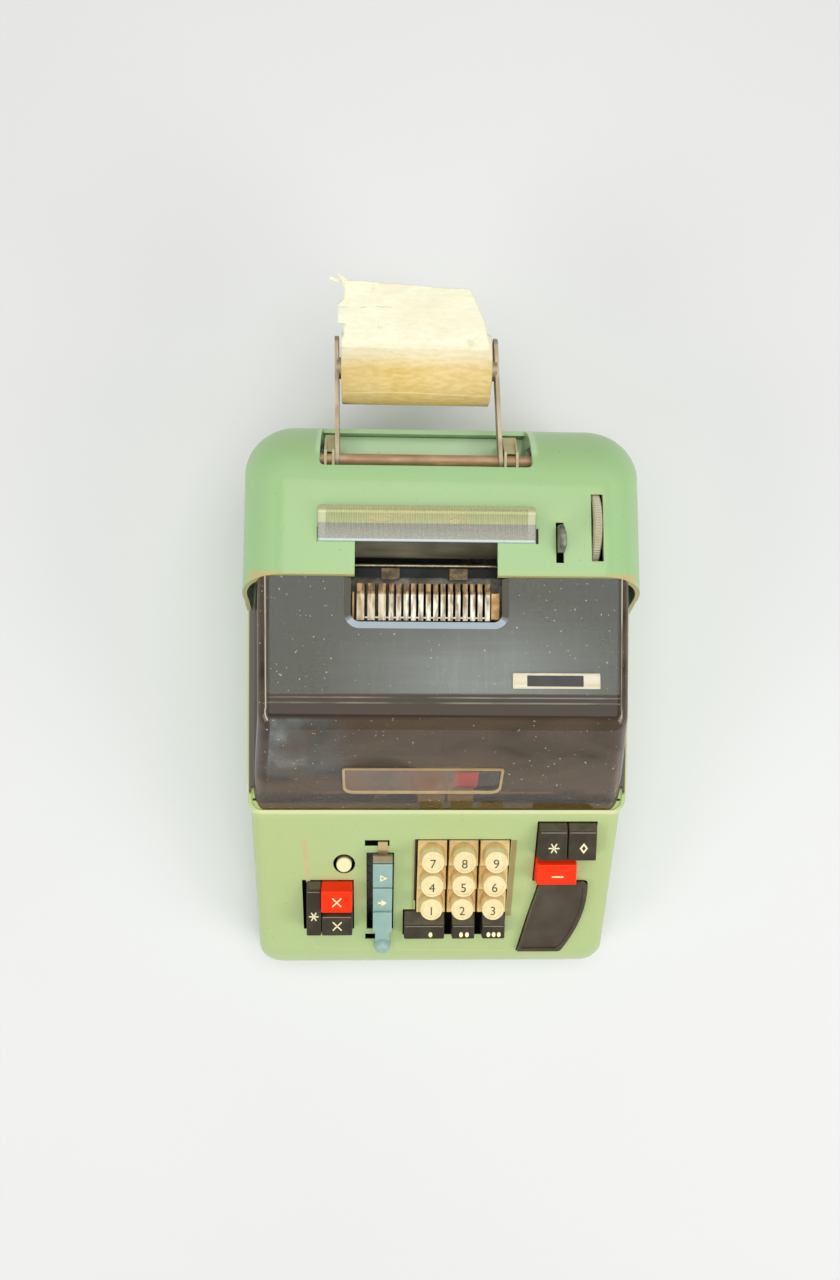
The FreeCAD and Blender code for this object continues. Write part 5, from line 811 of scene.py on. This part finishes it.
def numeral(digit, x, row_y):
    """A digit on the button's dished top."""
    seat_y = row_y - HALF_KEY + BUTTON_SEAT
    crown = (x, seat_y - BUTTON_LEAN,
             deck_z(row_y) + BLOCK_LIFT + math.tan(CAP_ANGLE) * (seat_y - row_y) + BUTTON_HEIGHT)
    floor = tilted(crown, CAP_ANGLE)(0.0, -DIGIT_DROP, -DISH_DEPTH)
    text = bpy.data.curves.new("numeral", "FONT")
    text.body = str(digit)
    text.size = DIGIT_SIZE * MM
    text.align_x = "CENTER"
    text.align_y = "CENTER"
    text.extrude = 0.10 * MM
    text.offset = -0.04 * MM
    text.resolution_u = 6
    holder = bpy.data.objects.new("numeral", text)
    bpy.context.scene.collection.objects.link(holder)
    bpy.context.view_layer.update()
    mesh = bpy.data.meshes.new_from_object(holder)
    bpy.data.objects.remove(holder)
    turn = Matrix.Translation(Vector(floor) * MM) @ Matrix.Rotation(CAP_ANGLE, 4, "X")
    mesh.transform(turn)
    piece(f"numeral_{digit}", mesh, INK, f"digit_key_{digit}")


for row in range(3):
    for column in range(3):
        numeral((2 - row) * 3 + column + 1, PAD_X + PITCH_X * (column - 1), PAD_Y - HALF_KEY - PITCH_Y * row)


def cap_plane(node, x, y, lift):
    """Frame of a sloping cap's top at (x, y)."""
    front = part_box(node)[0].y / MM
    z = deck_z(front) + lift + math.tan(CAP_ANGLE) * (y - front)
    return tilted((x, y, z), CAP_ANGLE)


def symbol(name, node, place, strokes=(), rings=(), fills=()):
    """Pale inlaid sign: strokes (u0, v0, u1, v1, width), rings (outer, inner) and filled outlines."""
    sheaf = Sheaf()
    for outline in [stroke(*values) for values in strokes] + list(fills):
        sheaf.prism(outline, INLAY_LOW, INLAY_HIGH, place)
    for outer, inner in rings:
        sheaf.ring(outer, inner, INLAY_LOW, INLAY_HIGH, place)
    piece(name, sheaf.mesh(), SYMBOL, node)


def star(radius):
    spokes = []
    for angle in (0, 60, 120):
        c, s = math.cos(math.radians(angle)), math.sin(math.radians(angle))
        spokes.append((-radius * c, -radius * s, radius * c, radius * s, SPOKE))
    return spokes


def cross(half):
    return [(-half, -half, half, half, SPOKE), (-half, half, half, -half, SPOKE)]


# how far the caps' tops are above the deck, at each key's front
TOTAL_LIFT, LEFT_LIFT, ZERO_LIFT, SHIFT_LIFT = 12.0, 16.0, 11.0, 9.0
TOTAL_SIGN_Y, ZERO_DOTS_Y = -119.9, -183.8
TOTAL_CREASE_Y, ZERO_CREASE_Y = -109.9, -178.1
SPOKE, DOT = 0.8, (1.25, 1.75)  # width of a sign's strokes, half sizes of a dot
DIAMOND = [(0, -3.5), (2.6, 0), (0, 3.5), (-2.6, 0)]
for name, node, x, y, lift, lines in (
        ("star_right", "total_key", 72.9, TOTAL_SIGN_Y, TOTAL_LIFT, {"strokes": star(3.1)}),
        ("diamond", "subtotal_key", 91.5, TOTAL_SIGN_Y, TOTAL_LIFT,
         {"rings": [(DIAMOND, [(u * 0.5, v * 0.5) for u, v in DIAMOND])]}),
        ("minus_sign", "minus_key", 77.0, -140.2, TOTAL_LIFT, {"strokes": [(-3.3, 0, 3.3, 0, 0.9)]}),
        ("times_red", "negative_times_key", -62.0, -157.6, LEFT_LIFT, {"strokes": cross(2.6)}),
        ("times_black", "times_key", -62.0, -175.4, LEFT_LIFT, {"strokes": cross(2.6)}),
        ("star_left", "product_total_key", -76.9, -168.9, LEFT_LIFT, {"strokes": star(2.8)})):
    symbol(name, node, cap_plane(node, x, y, lift), **lines)


def dots(name, node, centres):
    """Oval dots in a row, by the places of their middles."""
    oval = [(DOT[0] * u, DOT[1] * v) for u, v in arc(0, 0, 1, 0, 340, 17)]
    symbol(name, node, cap_plane(node, 0.0, ZERO_DOTS_Y, ZERO_LIFT),
           fills=[[(x + u, v) for u, v in oval] for x in centres])


def crease(node, y, lift):
    """Painted highlight: a pale line along the edge between a cap's top and its rear slope."""
    low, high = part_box(node)
    sheaf = Sheaf()
    sheaf.prism(stroke(low.x / MM + 1.0, 0.0, high.x / MM - 1.0, 0.0, 0.5), INLAY_LOW, INLAY_HIGH,
                cap_plane(node, 0.0, y, lift))
    piece("crease_" + node, sheaf.mesh(), EDGE_HIGHLIGHT, node)


for black in ("total_key", "subtotal_key"):
    crease(black, TOTAL_CREASE_Y, TOTAL_LIFT)
for black in ("zero_key", "double_zero_key", "triple_zero_key"):
    crease(black, ZERO_CREASE_Y, ZERO_LIFT)
crease("product_total_key", -152.6, LEFT_LIFT)
crease("times_key", -169.4, LEFT_LIFT)
dots("one_dot", "zero_key", [-1.9])
dots("two_dots", "double_zero_key", [18.0, 21.9])
dots("three_dots", "triple_zero_key", [35.9, 39.3, 42.7])


def shift_plane(x, y):
    """Frame of a shift key's flat top at (x, y)."""
    return tilted((x, y, deck_z(y) + SHIFT_LIFT), DECK_ANGLE)


TRIANGLE = [(-2.2, -2.7), (2.6, 0), (-2.2, 2.7)]
symbol("triangle_outline", "triangle_key", shift_plane(-32.6, -141.4),
       rings=[(TRIANGLE, [(-1.35, -1.25), (0.85, 0), (-1.35, 1.25)])])
symbol("arrow_sign", "arrow_key", shift_plane(-33.0, -159.6),
       fills=[[(-3.2, -0.75), (-0.6, -0.75), (-0.6, 0.75), (-3.2, 0.75)],
              [(-0.9, -2.6), (2.7, 0), (-0.9, 2.6)]])


# ---- worn line on the deck ----
def worn_line():
    """Pale line where a label's edge once lay: down the deck's left side and along its front."""
    upper = [(-82.2, -116.0), (-81.6, -131.0), (-80.6, -147.0)]
    corner = arc(-71.2, -189.5, 9.0, 180, 270, 6)
    lower = [(-80.4, -187.0)] + corner + [(-45.0, -199.2), (-8.0, -199.7), (24.0, -200.2), (52.0, -200.8)]
    sheaf = Sheaf()
    for line, width in ((upper, 2.6), (lower, 1.1)):
        for (x0, y0), (x1, y1) in zip(line, line[1:]):
            length = math.hypot(x1 - x0, y1 - y0)
            nx, ny = -(y1 - y0) / length * width / 2, (x1 - x0) / length * width / 2
            outline = [(x0 + nx, y0 + ny), (x0 - nx, y0 - ny), (x1 - nx, y1 - ny), (x1 + nx, y1 + ny)]
            sheaf.prism(outline, -0.2, 0.03, on_deck)
    piece("worn_line", sheaf.mesh(), WORN, "casing")


def worn_finish():
    s = Shader("worn_enamel")
    share = s.patches(0.35, 0.65, 150.0, 5.0)
    upper = s.ramp(s.axes()["Y"], -150.0, -148.0)
    beige = s.blend(share, (202, 178, 126), (198, 192, 134))
    s.colour(s.blend(upper, s.blend(share, (192, 202, 142), (196, 190, 136)), beige))
    s.rough(share, 0.5, 0.7)
    return s.material


WORN = worn_finish()
worn_line()


# ---- platen thumbwheel with a ribbed rim ----
def around(y, z, angle, profile):
    """A profile of (x, radius) turned by an angle about the line through (y, z)."""
    return [(x, y + r * math.cos(angle), z + r * math.sin(angle)) for x, r in profile]


def thumbwheel():
    low, high = (corner.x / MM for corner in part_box("platen_thumbwheel"))
    ribs = 104
    crest, hollow, web, bore = 25.0, 24.45, 20.5, 4.0
    # (x, radius) from the bore round the rim and back; a radius of 0 or less counts from the ribbed rim
    profile = [(low, bore), (low, 8.0), (low + 0.9, 8.6), (low + 0.9, web), (low, web + 0.8), (low, -1.1),
               (low + 0.8, 0.0), (high - 0.8, 0.0), (high, -1.1), (high, web + 0.8), (high - 0.9, web),
               (high - 0.9, 8.6), (high, 8.0), (high, bore)]
    rings = []
    for step in range(2 * ribs):
        rim = crest if step % 2 else hollow
        ring = [(x, rim + r if r <= 0 else r) for x, r in profile]
        rings.append(around(PLATEN_Y, PLATEN_Z, math.pi * step / ribs, ring))
    marks = [0 if 4 <= i <= 8 else 1 for i in range(len(profile))] * len(rings)
    wheel = piece("ribbed_thumbwheel", built(*skin(rings, closed=True), marks), [RIB_PLASTIC, BLACK_PLASTIC],
                  "platen_unit")
    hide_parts("platen_thumbwheel")


thumbwheel()


# ---- release lever: a curved finger on a flat neck ----
def release_lever():
    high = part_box("paper_release_lever")[1]
    pivot_y, pivot_z = PLATEN_Y - 14.4, PLATEN_Z - 8.5
    rear = LEVER_SLOT_FRONT + LEVER_SLOT_LENGTH - 1.2
    front = rear - 16.5
    middle, half, top = 64.2, 1.6, high.z / MM
    neck_z = PLATEN_Z + 8.0
    neck = [(pivot_y - 2, pivot_z), (pivot_y + 5, pivot_z), (pivot_y + 5, neck_z),
            (rear - 1.0, cover_z(rear) - 6), (rear - 1.0, cover_z(rear) + 1.0),
            (front + 1.0, cover_z(front) + 1.0), (front + 0.5, cover_z(front) - 3)]
    sheaf = Sheaf()
    sheaf.prism(neck, middle - half, middle + half, sideways)
    sheaf.prism(arc(pivot_y, pivot_z, 6.0, 0, 345, 23), middle - half, high.x / MM, sideways)
    # the finger piece: sections from front to rear, domed, its right side bowed outwards
    sections = []
    for row in range(9):
        share = row / 8
        y = front + 0.6 + (rear - front - 1.2) * share
        crest = cover_z(y) + 3.0 + (top - cover_z(rear) - 3.0) * math.sin(math.pi * (0.16 + 0.60 * share))
        swell = 0.6 + 1.1 * math.sin(math.pi * min(1.0, 0.15 + 0.9 * share))
        left, right = middle - half, middle + 0.5 + swell
        base = cover_z(y) + 0.6
        sections.append([(left, y, base), (left, y, crest - 0.9), (left + 0.7, y, crest),
                         (right - 0.8, y, crest - 0.4), (right, y, crest - 1.6), (right - 0.5, y, base)])
    sheaf.add(*skin(sections))
    lever = piece("release_finger", sheaf.mesh(), LEVER, "release_lever")
    soften(lever, 0.35, 2, 40)
    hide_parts("paper_release_lever")


release_lever()


# ---- tear bar: clear channel with a toothed crest over a bare metal strip ----
def tear_bar():
    low, high = (corner.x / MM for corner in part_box("tear_bar"))
    pitch, tooth_depth, crest_height = 1.35, 0.85, 4.6
    teeth = int((high - low - 8.0) / pitch)
    first = (low + high - teeth * pitch) / 2
    # stations along the bar: x and how far its rounded ends shrink there
    stations = [(low, 1.2), (low + 0.5, 0.35), (low + 1.6, 0.0), (first - 0.5, 0.0)]
    stations += [(first + pitch * step / 2, 0.0) for step in range(2 * teeth + 1)]
    stations += [(first + teeth * pitch + 0.5, 0.0), (high - 1.6, 0.0), (high - 0.5, 0.35), (high, 1.2)]
    rings = []
    for index, (x, shy) in enumerate(stations):
        tooth = 4 <= index < len(stations) - 4 and index % 2 == 1
        crest = crest_height - (tooth_depth if tooth else 0.0) - shy * 0.5
        y0, y1 = TEAR_FRONT + shy, TEAR_REAR - shy
        outline = [(y0, 0.02), (y0, 1.5 - shy * 0.3), (y0 + 0.5, 2.0 - shy * 0.3), (y1 - 3.9, crest - 0.45),
                   (y1 - 3.0, crest), (y1 - 2.3, crest - 0.2), (y1 - 0.4, 3.2 - shy * 0.4),
                   (y1, 2.6 - shy * 0.4), (y1, 0.02)]
        rings.append([on_cover(x, y, h) for y, h in outline])
    outer = built(*skin(rings))
    # the channel's hollow, as inward faces
    channel = [(TEAR_FRONT + 1.3, 0.3), (TEAR_FRONT + 1.3, 0.9), (TEAR_REAR - 4.6, 2.7),
               (TEAR_REAR - 2.2, 2.2), (TEAR_REAR - 2.2, 0.3)]
    inner = built(*skin([[on_cover(x, y, h) for y, h in channel]
                         for x in (stations[3][0] + 0.6, stations[-4][0] - 0.6)]))
    work = bmesh.new()
    work.from_mesh(inner)
    bmesh.ops.reverse_faces(work, faces=work.faces)
    work.from_mesh(outer)
    merged = bpy.data.meshes.new("mesh")
    work.to_mesh(merged)
    work.free()
    bar = piece("toothed_tear_bar", merged, BAR_CLEAR, "casing")
    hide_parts("tear_bar")


def tear_strip():
    """Bare metal strip that shows through the tear bar's front half."""
    sheaf = Sheaf()
    sheaf.prism(rounded(-65.6, 46.4, TEAR_FRONT + 1.7, TEAR_FRONT + 9.6, 0.4, 2), -0.1, 0.22, on_cover)
    piece("tear_strip", sheaf.mesh(), STRIP_METAL, "casing")
    # painted shade: near-black sheets in the slots at the bar's two ends
    dark = Sheaf()
    y0, y1 = TEAR_FRONT - 0.6, TEAR_FRONT + 8.0
    for x0, x1 in ((-71.0, -70.62), (50.62, 52.2)):
        dark.prism([(x0, y0), (x1, y0), (x1, y1), (x0, y1)], -0.6, 0.03, on_cover)
    piece("tear_bar_slot_shade", dark.mesh(), SHADE_BLACK, "casing")


tear_bar()
tear_strip()


# ---- type bars' heads and the guide's end blocks ----
def type_details():
    front = TYPE_FRONT
    head_low, head_high, foot = 137.4, 138.2, 117.9
    wide_pitch, narrow_pitch = 6.05, 4.18
    wide = [-46.8 + wide_pitch * i for i in range(3)]
    bars = wide + [wide[-1] + (wide_pitch + narrow_pitch) / 2 + narrow_pitch * i for i in range(14)]
    heads = Sheaf()
    for a, b in zip(bars, bars[1:]):
        middle = (a + b) / 2 + (0.45 if b in wide else 0.0)
        outline = rounded(middle - 1.35, middle + 1.35, front + 1.1, front + 2.2, 0.4, 2)
        heads.prism(outline, head_low, head_high, level)
    obj = piece("bar_end_heads", heads.mesh(), PLATE, "type_bars")
    soften(obj, 0.12, 1)
    ends = Sheaf()
    ends.box(26.75, 31.7, front + 0.6, front + 15.6, foot, 137.2)
    ends.box(-51.6, -50.3, front - 0.6, front + 16.0, foot, 137.0)
    block = piece("guide_end_blocks", ends.mesh(), BRONZE_LIGHT, "casing")
    soften(block, 0.3, 2)


BRONZE_LIGHT = metal("bronze_light", (206, 168, 108), (150, 112, 64), 0.35, stain_scale=160.0,
                     metallic=0.4)
type_details()


# ---- webs that close the two brackets in the recess ----
def bracket_webs():
    sheaf = Sheaf()
    front, rear = ROD_Y + 3.9, REAR_Y - 6.6
    outline = [(front, ROD_Z + 1.4), (rear, ROD_Z - 9.0), (rear, ROD_Z - 8.4), (front, ROD_Z + 2.0)]
    for x0, x1 in ((-68.2, -62.2), (34.4, 42.6)):
        sheaf.prism(outline, x0, x1, sideways)
    piece("bracket_webs", sheaf.mesh(), CREAM_PAINT, "casing")


bracket_webs()


# ---- lens rim and the cream wheels seen through the smoked face ----
def face_frame(u, v, w):
    """u across, v up the hood's sloping face from its foot, w out of the face."""
    y = HOOD_FOOT_Y + v * math.cos(FACE_ANGLE) - w * math.sin(FACE_ANGLE)
    z = deck_z(HOOD_FOOT_Y) + 0.3 + v * math.sin(FACE_ANGLE) + w * math.cos(FACE_ANGLE)
    return (u, y, z)


def lens_rim():
    sheaf = Sheaf()
    outer = rounded(-57.2, 37.0, 19.3, 44.7, [6.2, 6.2, 1.6, 1.6], 6)
    inner = rounded(-55.5, 35.3, 22.4, 43.9, [4.2, 4.2, 0.9, 0.9], 6)
    sheaf.ring(outer, inner, -0.2, 1.25, face_frame)
    rim = piece("lens_rim", sheaf.mesh(), RIM_CREAM, "casing")
    soften(rim, 0.35, 2)


RIM_CREAM = plastic("lens_rim_plastic", (184, 158, 112), (156, 132, 92), 0.3, coat=0.3)
lens_rim()


def counter_wheels():
    """Cream wheels on a spindle right behind the hood's foot, and a steel one to their left."""
    y, z, radius = -84.4, 86.4, 8.8
    sheaf = Sheaf()
    for x0, x1 in ((-12.5, 4.1), (5.9, 22.0)):
        sheaf.prism(arc(y, z, radius, 0, 350, 35), x0, x1, sideways)
    sheaf.prism(arc(y, z, radius * 0.7, 0, 350, 35), -39.0, -30.0, sideways, 1)
    sheaf.prism(arc(y, z, 1.5, 0, 340, 17), -77.0, 73.0, sideways, 2)
    wheels = piece("cream_wheels", sheaf.mesh(), [WHEEL_CREAM, SHEET_STEEL, SHAFT_STEEL], "casing")
    soften(wheels, 0.8, 3)


counter_wheels()


# ---- bare name plate: a thin raised frame round a dark field ----
def plate_field():
    sheaf = Sheaf()
    y0 = REAR_Y - 150.0  # its front edge
    sheaf.prism(rounded(45.3, 76.5, y0 + 1.2, y0 + 7.2, 0.3, 2), 0.6, 0.86, on_hood, 0)
    outer, inner = rounded(37.4, 85.7, y0, y0 + 8.4, 0.5, 2), rounded(37.9, 85.2, y0 + 0.5, y0 + 7.9, 0.4, 2)
    sheaf.ring(outer, inner, 0.5, 1.0, on_hood, 1)
    piece("plate_field", sheaf.mesh(), [BLACK_PLASTIC, PLATE], "casing")


plate_field()


# ---- paper roll with its torn loose end ----
ROLL_RADIUS = 20.0
FLAP_ANGLE = math.radians(20.0)
FLAP_LENGTH = 43.3
SHEET = 0.2  # thickness
SLANT = 4.1  # how much shorter the torn edge leaves the sheet on its right
# x of the loose end's two torn edges, by the distance from its free end
LEFT_TEAR = [(0.0, -56.9), (6.0, -57.2), (12.5, -57.8), (15.6, -60.7), (17.1, -60.8), (17.5, -52.4),
             (17.9, -60.8), (28.0, -60.6), (28.6, -53.4), (29.2, -57.3), (36.0, -57.0), (37.2, -58.4),
             (60.0, -58.2)]
RIGHT_TEAR = [(0.0, 12.6), (4.0, 14.2), (6.2, 14.9), (9.7, 16.4), (17.0, 18.7), (24.8, 21.5), (33.0, 22.6),
              (40.5, 24.1), (60.0, 25.3)]


def between(line, at):
    """Value at a place on a broken line of (place, value) corners."""
    for (a, low), (b, high) in zip(line, line[1:]):
        if at <= b:
            return low + (high - low) * max(0.0, at - a) / (b - a)
    return line[-1][1]


def on_flap(x, s, lift):
    """Point of the loose end, s from its free end, lifted off the sheet's underside."""
    along = FLAP_LENGTH - s
    out = ROLL_RADIUS + 0.32 + lift
    return (x, ROLL_Y + out * math.sin(FLAP_ANGLE) + along * math.cos(FLAP_ANGLE),
            ROLL_Z + out * math.cos(FLAP_ANGLE) - along * math.sin(FLAP_ANGLE))


def loose_end():
    """The sheet from its torn edge to the roll: rippled, lifted near the tear at its left."""
    columns, rows = 60, 96
    rng = random.Random(SEED)
    frays = [rng.uniform(-0.35, 0.35) for _ in range(columns + 1)]
    points = []
    for side in (SHEET, 0.0):
        for row in range(rows + 1):
            for column in range(columns + 1):
                share = column / columns
                start = max(0.0, SLANT * share + frays[column])
                s = start + (FLAP_LENGTH - start) * row / rows
                x0, x1 = between(LEFT_TEAR, s), between(RIGHT_TEAR, s)
                free = max(0.0, 1.0 - s / (FLAP_LENGTH - 3.0))
                waves = 0.32 * math.sin(share * 5.2 + 0.6) + 0.16 * math.sin(share * 13.0 + s * 0.3)
                ripple = free * (0.5 + waves)
                ripple += 0.5 * max(0.0, 1.0 - abs(s - 23.0) / 6.0) * max(0.0, 1.0 - share * 9.0)
                root = max(0.0, 1.0 - (FLAP_LENGTH - s) / 5.0)
                lift = (side + ripple) * (1.0 - 0.9 * root) - 0.30 * root
                points.append(on_flap(x0 + (x1 - x0) * share, s, lift))
    wide = columns + 1
    layer = wide * (rows + 1)
    faces = []
    for row in range(rows):
        for column in range(columns):
            a = row * wide + column
            faces.append((a, a + 1, a + wide + 1, a + wide))
            faces.append((layer + a, layer + a + wide, layer + a + wide + 1, layer + a + 1))
    for column in range(columns):
        for a in (column, rows * wide + column):
            faces.append((a, a + 1, layer + a + 1, layer + a))
    for row in range(rows):
        for a in (row * wide, row * wide + columns):
            faces.append((a, a + wide, layer + a + wide, layer + a))
    sheet_end = piece("torn_loose_end", built(points, faces), PAPER, "paper_arms", True)
    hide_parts("paper_loose_end")


def torn_shreds():
    """Curled shreds at the loose end's left corner."""
    spike = [(-57.0, 207.5, 130.7), (-55.2, 212.4, 128.9), (-57.2, 212.6, 133.0), (-60.7, 212.8, 140.6),
             (-58.6, 210.4, 135.2)]
    curl = [(-57.2, 211.2, 129.6), (-56.6, 212.9, 129.0), (-60.4, 213.0, 131.2), (-65.0, 212.9, 133.4),
            (-65.4, 211.9, 132.6), (-61.0, 211.2, 130.2)]
    sheaf = Sheaf()
    for outline in (spike, curl):
        sheaf.add(*skin([[(x, y, z + shift) for x, y, z in outline] for shift in (-0.1, 0.1)]))
    piece("paper_shreds", sheaf.mesh(), PAPER, "paper_arms")


def wound_core():
    """The roll: its end faces a little uneven from turn to turn."""
    low, high = (corner.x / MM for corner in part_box("paper_roll"))
    # (radius, how far the end face lies back there)
    turns = [(5.0, 0.9), (5.2, 0.5), (9.0, 0.35), (9.15, 0.6), (13.0, 0.15), (13.15, 0.45), (16.0, 0.1),
             (16.15, 0.35), (18.2, 0.05), (18.35, 0.3), (19.6, 0.0), (19.97, 0.25)]
    spokes = 120
    profile = [(low + back, r) for r, back in turns] + [(high - back, r) for r, back in turns[::-1]]
    rings = [around(ROLL_Y, ROLL_Z, 2 * math.pi * step / spokes, profile) for step in range(spokes)]
    marks = [1 if i == len(turns) - 1 else 0 for i in range(len(profile))] * spokes
    roll = piece("wound_paper", built(*skin(rings, closed=True), marks), [PAPER_END, PAPER], "paper_roll")
    for polygon in roll.data.polygons:
        polygon.use_smooth = polygon.material_index == 1
    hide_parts("paper_roll")


loose_end()
torn_shreds()
wound_core()


# ---- stage, light and camera ----
def stage():
    work = bmesh.new()
    bmesh.ops.create_grid(work, x_segments=2, y_segments=2, size=3.0)
    mesh = bpy.data.meshes.new("floor")
    work.to_mesh(mesh)
    work.free()
    floor = bpy.data.objects.new("floor", mesh)
    bpy.context.scene.collection.objects.link(floor)
    s = Shader("floor_paint", Roughness=0.85)
    s.colour(s.blend(s.noise(3.0), (226, 226, 224), (230, 230, 228)))
    mesh.materials.append(s.material)


def lamp(name, size, power, location, target=(0.0, 0.0, 0.06)):
    light = bpy.data.lights.new(name, "AREA")
    light.shape = "SQUARE"
    light.size = size
    light.energy = power
    obj = bpy.data.objects.new(name, light)
    bpy.context.scene.collection.objects.link(obj)
    obj.location = location
    obj.rotation_euler = (Vector(target) - Vector(location)).to_track_quat("-Z", "Y").to_euler()


def world(strength):
    scene_world = bpy.data.worlds.new("studio")
    scene_world.use_nodes = True
    back = scene_world.node_tree.nodes["Background"]
    back.inputs["Color"].default_value = (0.96, 0.98, 1.0, 1.0)
    back.inputs["Strength"].default_value = strength
    bpy.context.scene.world = scene_world


FOCAL_PIXELS, PICTURE_HEIGHT = 961.0, 1280.0


def camera():
    """The photograph's view: nearly straight down, as solved from the machine's own edges."""
    tilt, roll, turn = math.radians(2.0), math.radians(-2.123), math.radians(0.494)
    flip = Matrix.Diagonal((1.0, -1.0, -1.0))
    to_camera = (Matrix.Rotation(tilt, 3, "X") @ Matrix.Rotation(roll, 3, "Y") @
                 Matrix.Rotation(turn, 3, "Z") @ flip)
    data = bpy.data.cameras.new("camera")
    data.sensor_width = 36.0
    data.lens = FOCAL_PIXELS / PICTURE_HEIGHT * data.sensor_width
    data.clip_start = 0.01
    view = bpy.data.objects.new("camera", data)
    bpy.context.scene.collection.objects.link(view)
    placed = (to_camera.transposed() @ flip).to_4x4()
    placed.translation = Vector((-0.0334, 0.02926, 0.678))
    view.matrix_world = placed
    bpy.context.scene.camera = view


stage()
lamp("ceiling_panel", 1.5, 20.0, (0.06, 0.24, 1.75))
lamp("left_fill", 0.9, 8.0, (-1.25, -0.75, 0.95))
lamp("right_fill", 0.9, 9.5, (1.25, -0.75, 0.95))
world(0.34)
camera()
bpy.context.scene.view_settings.view_transform = "Standard"
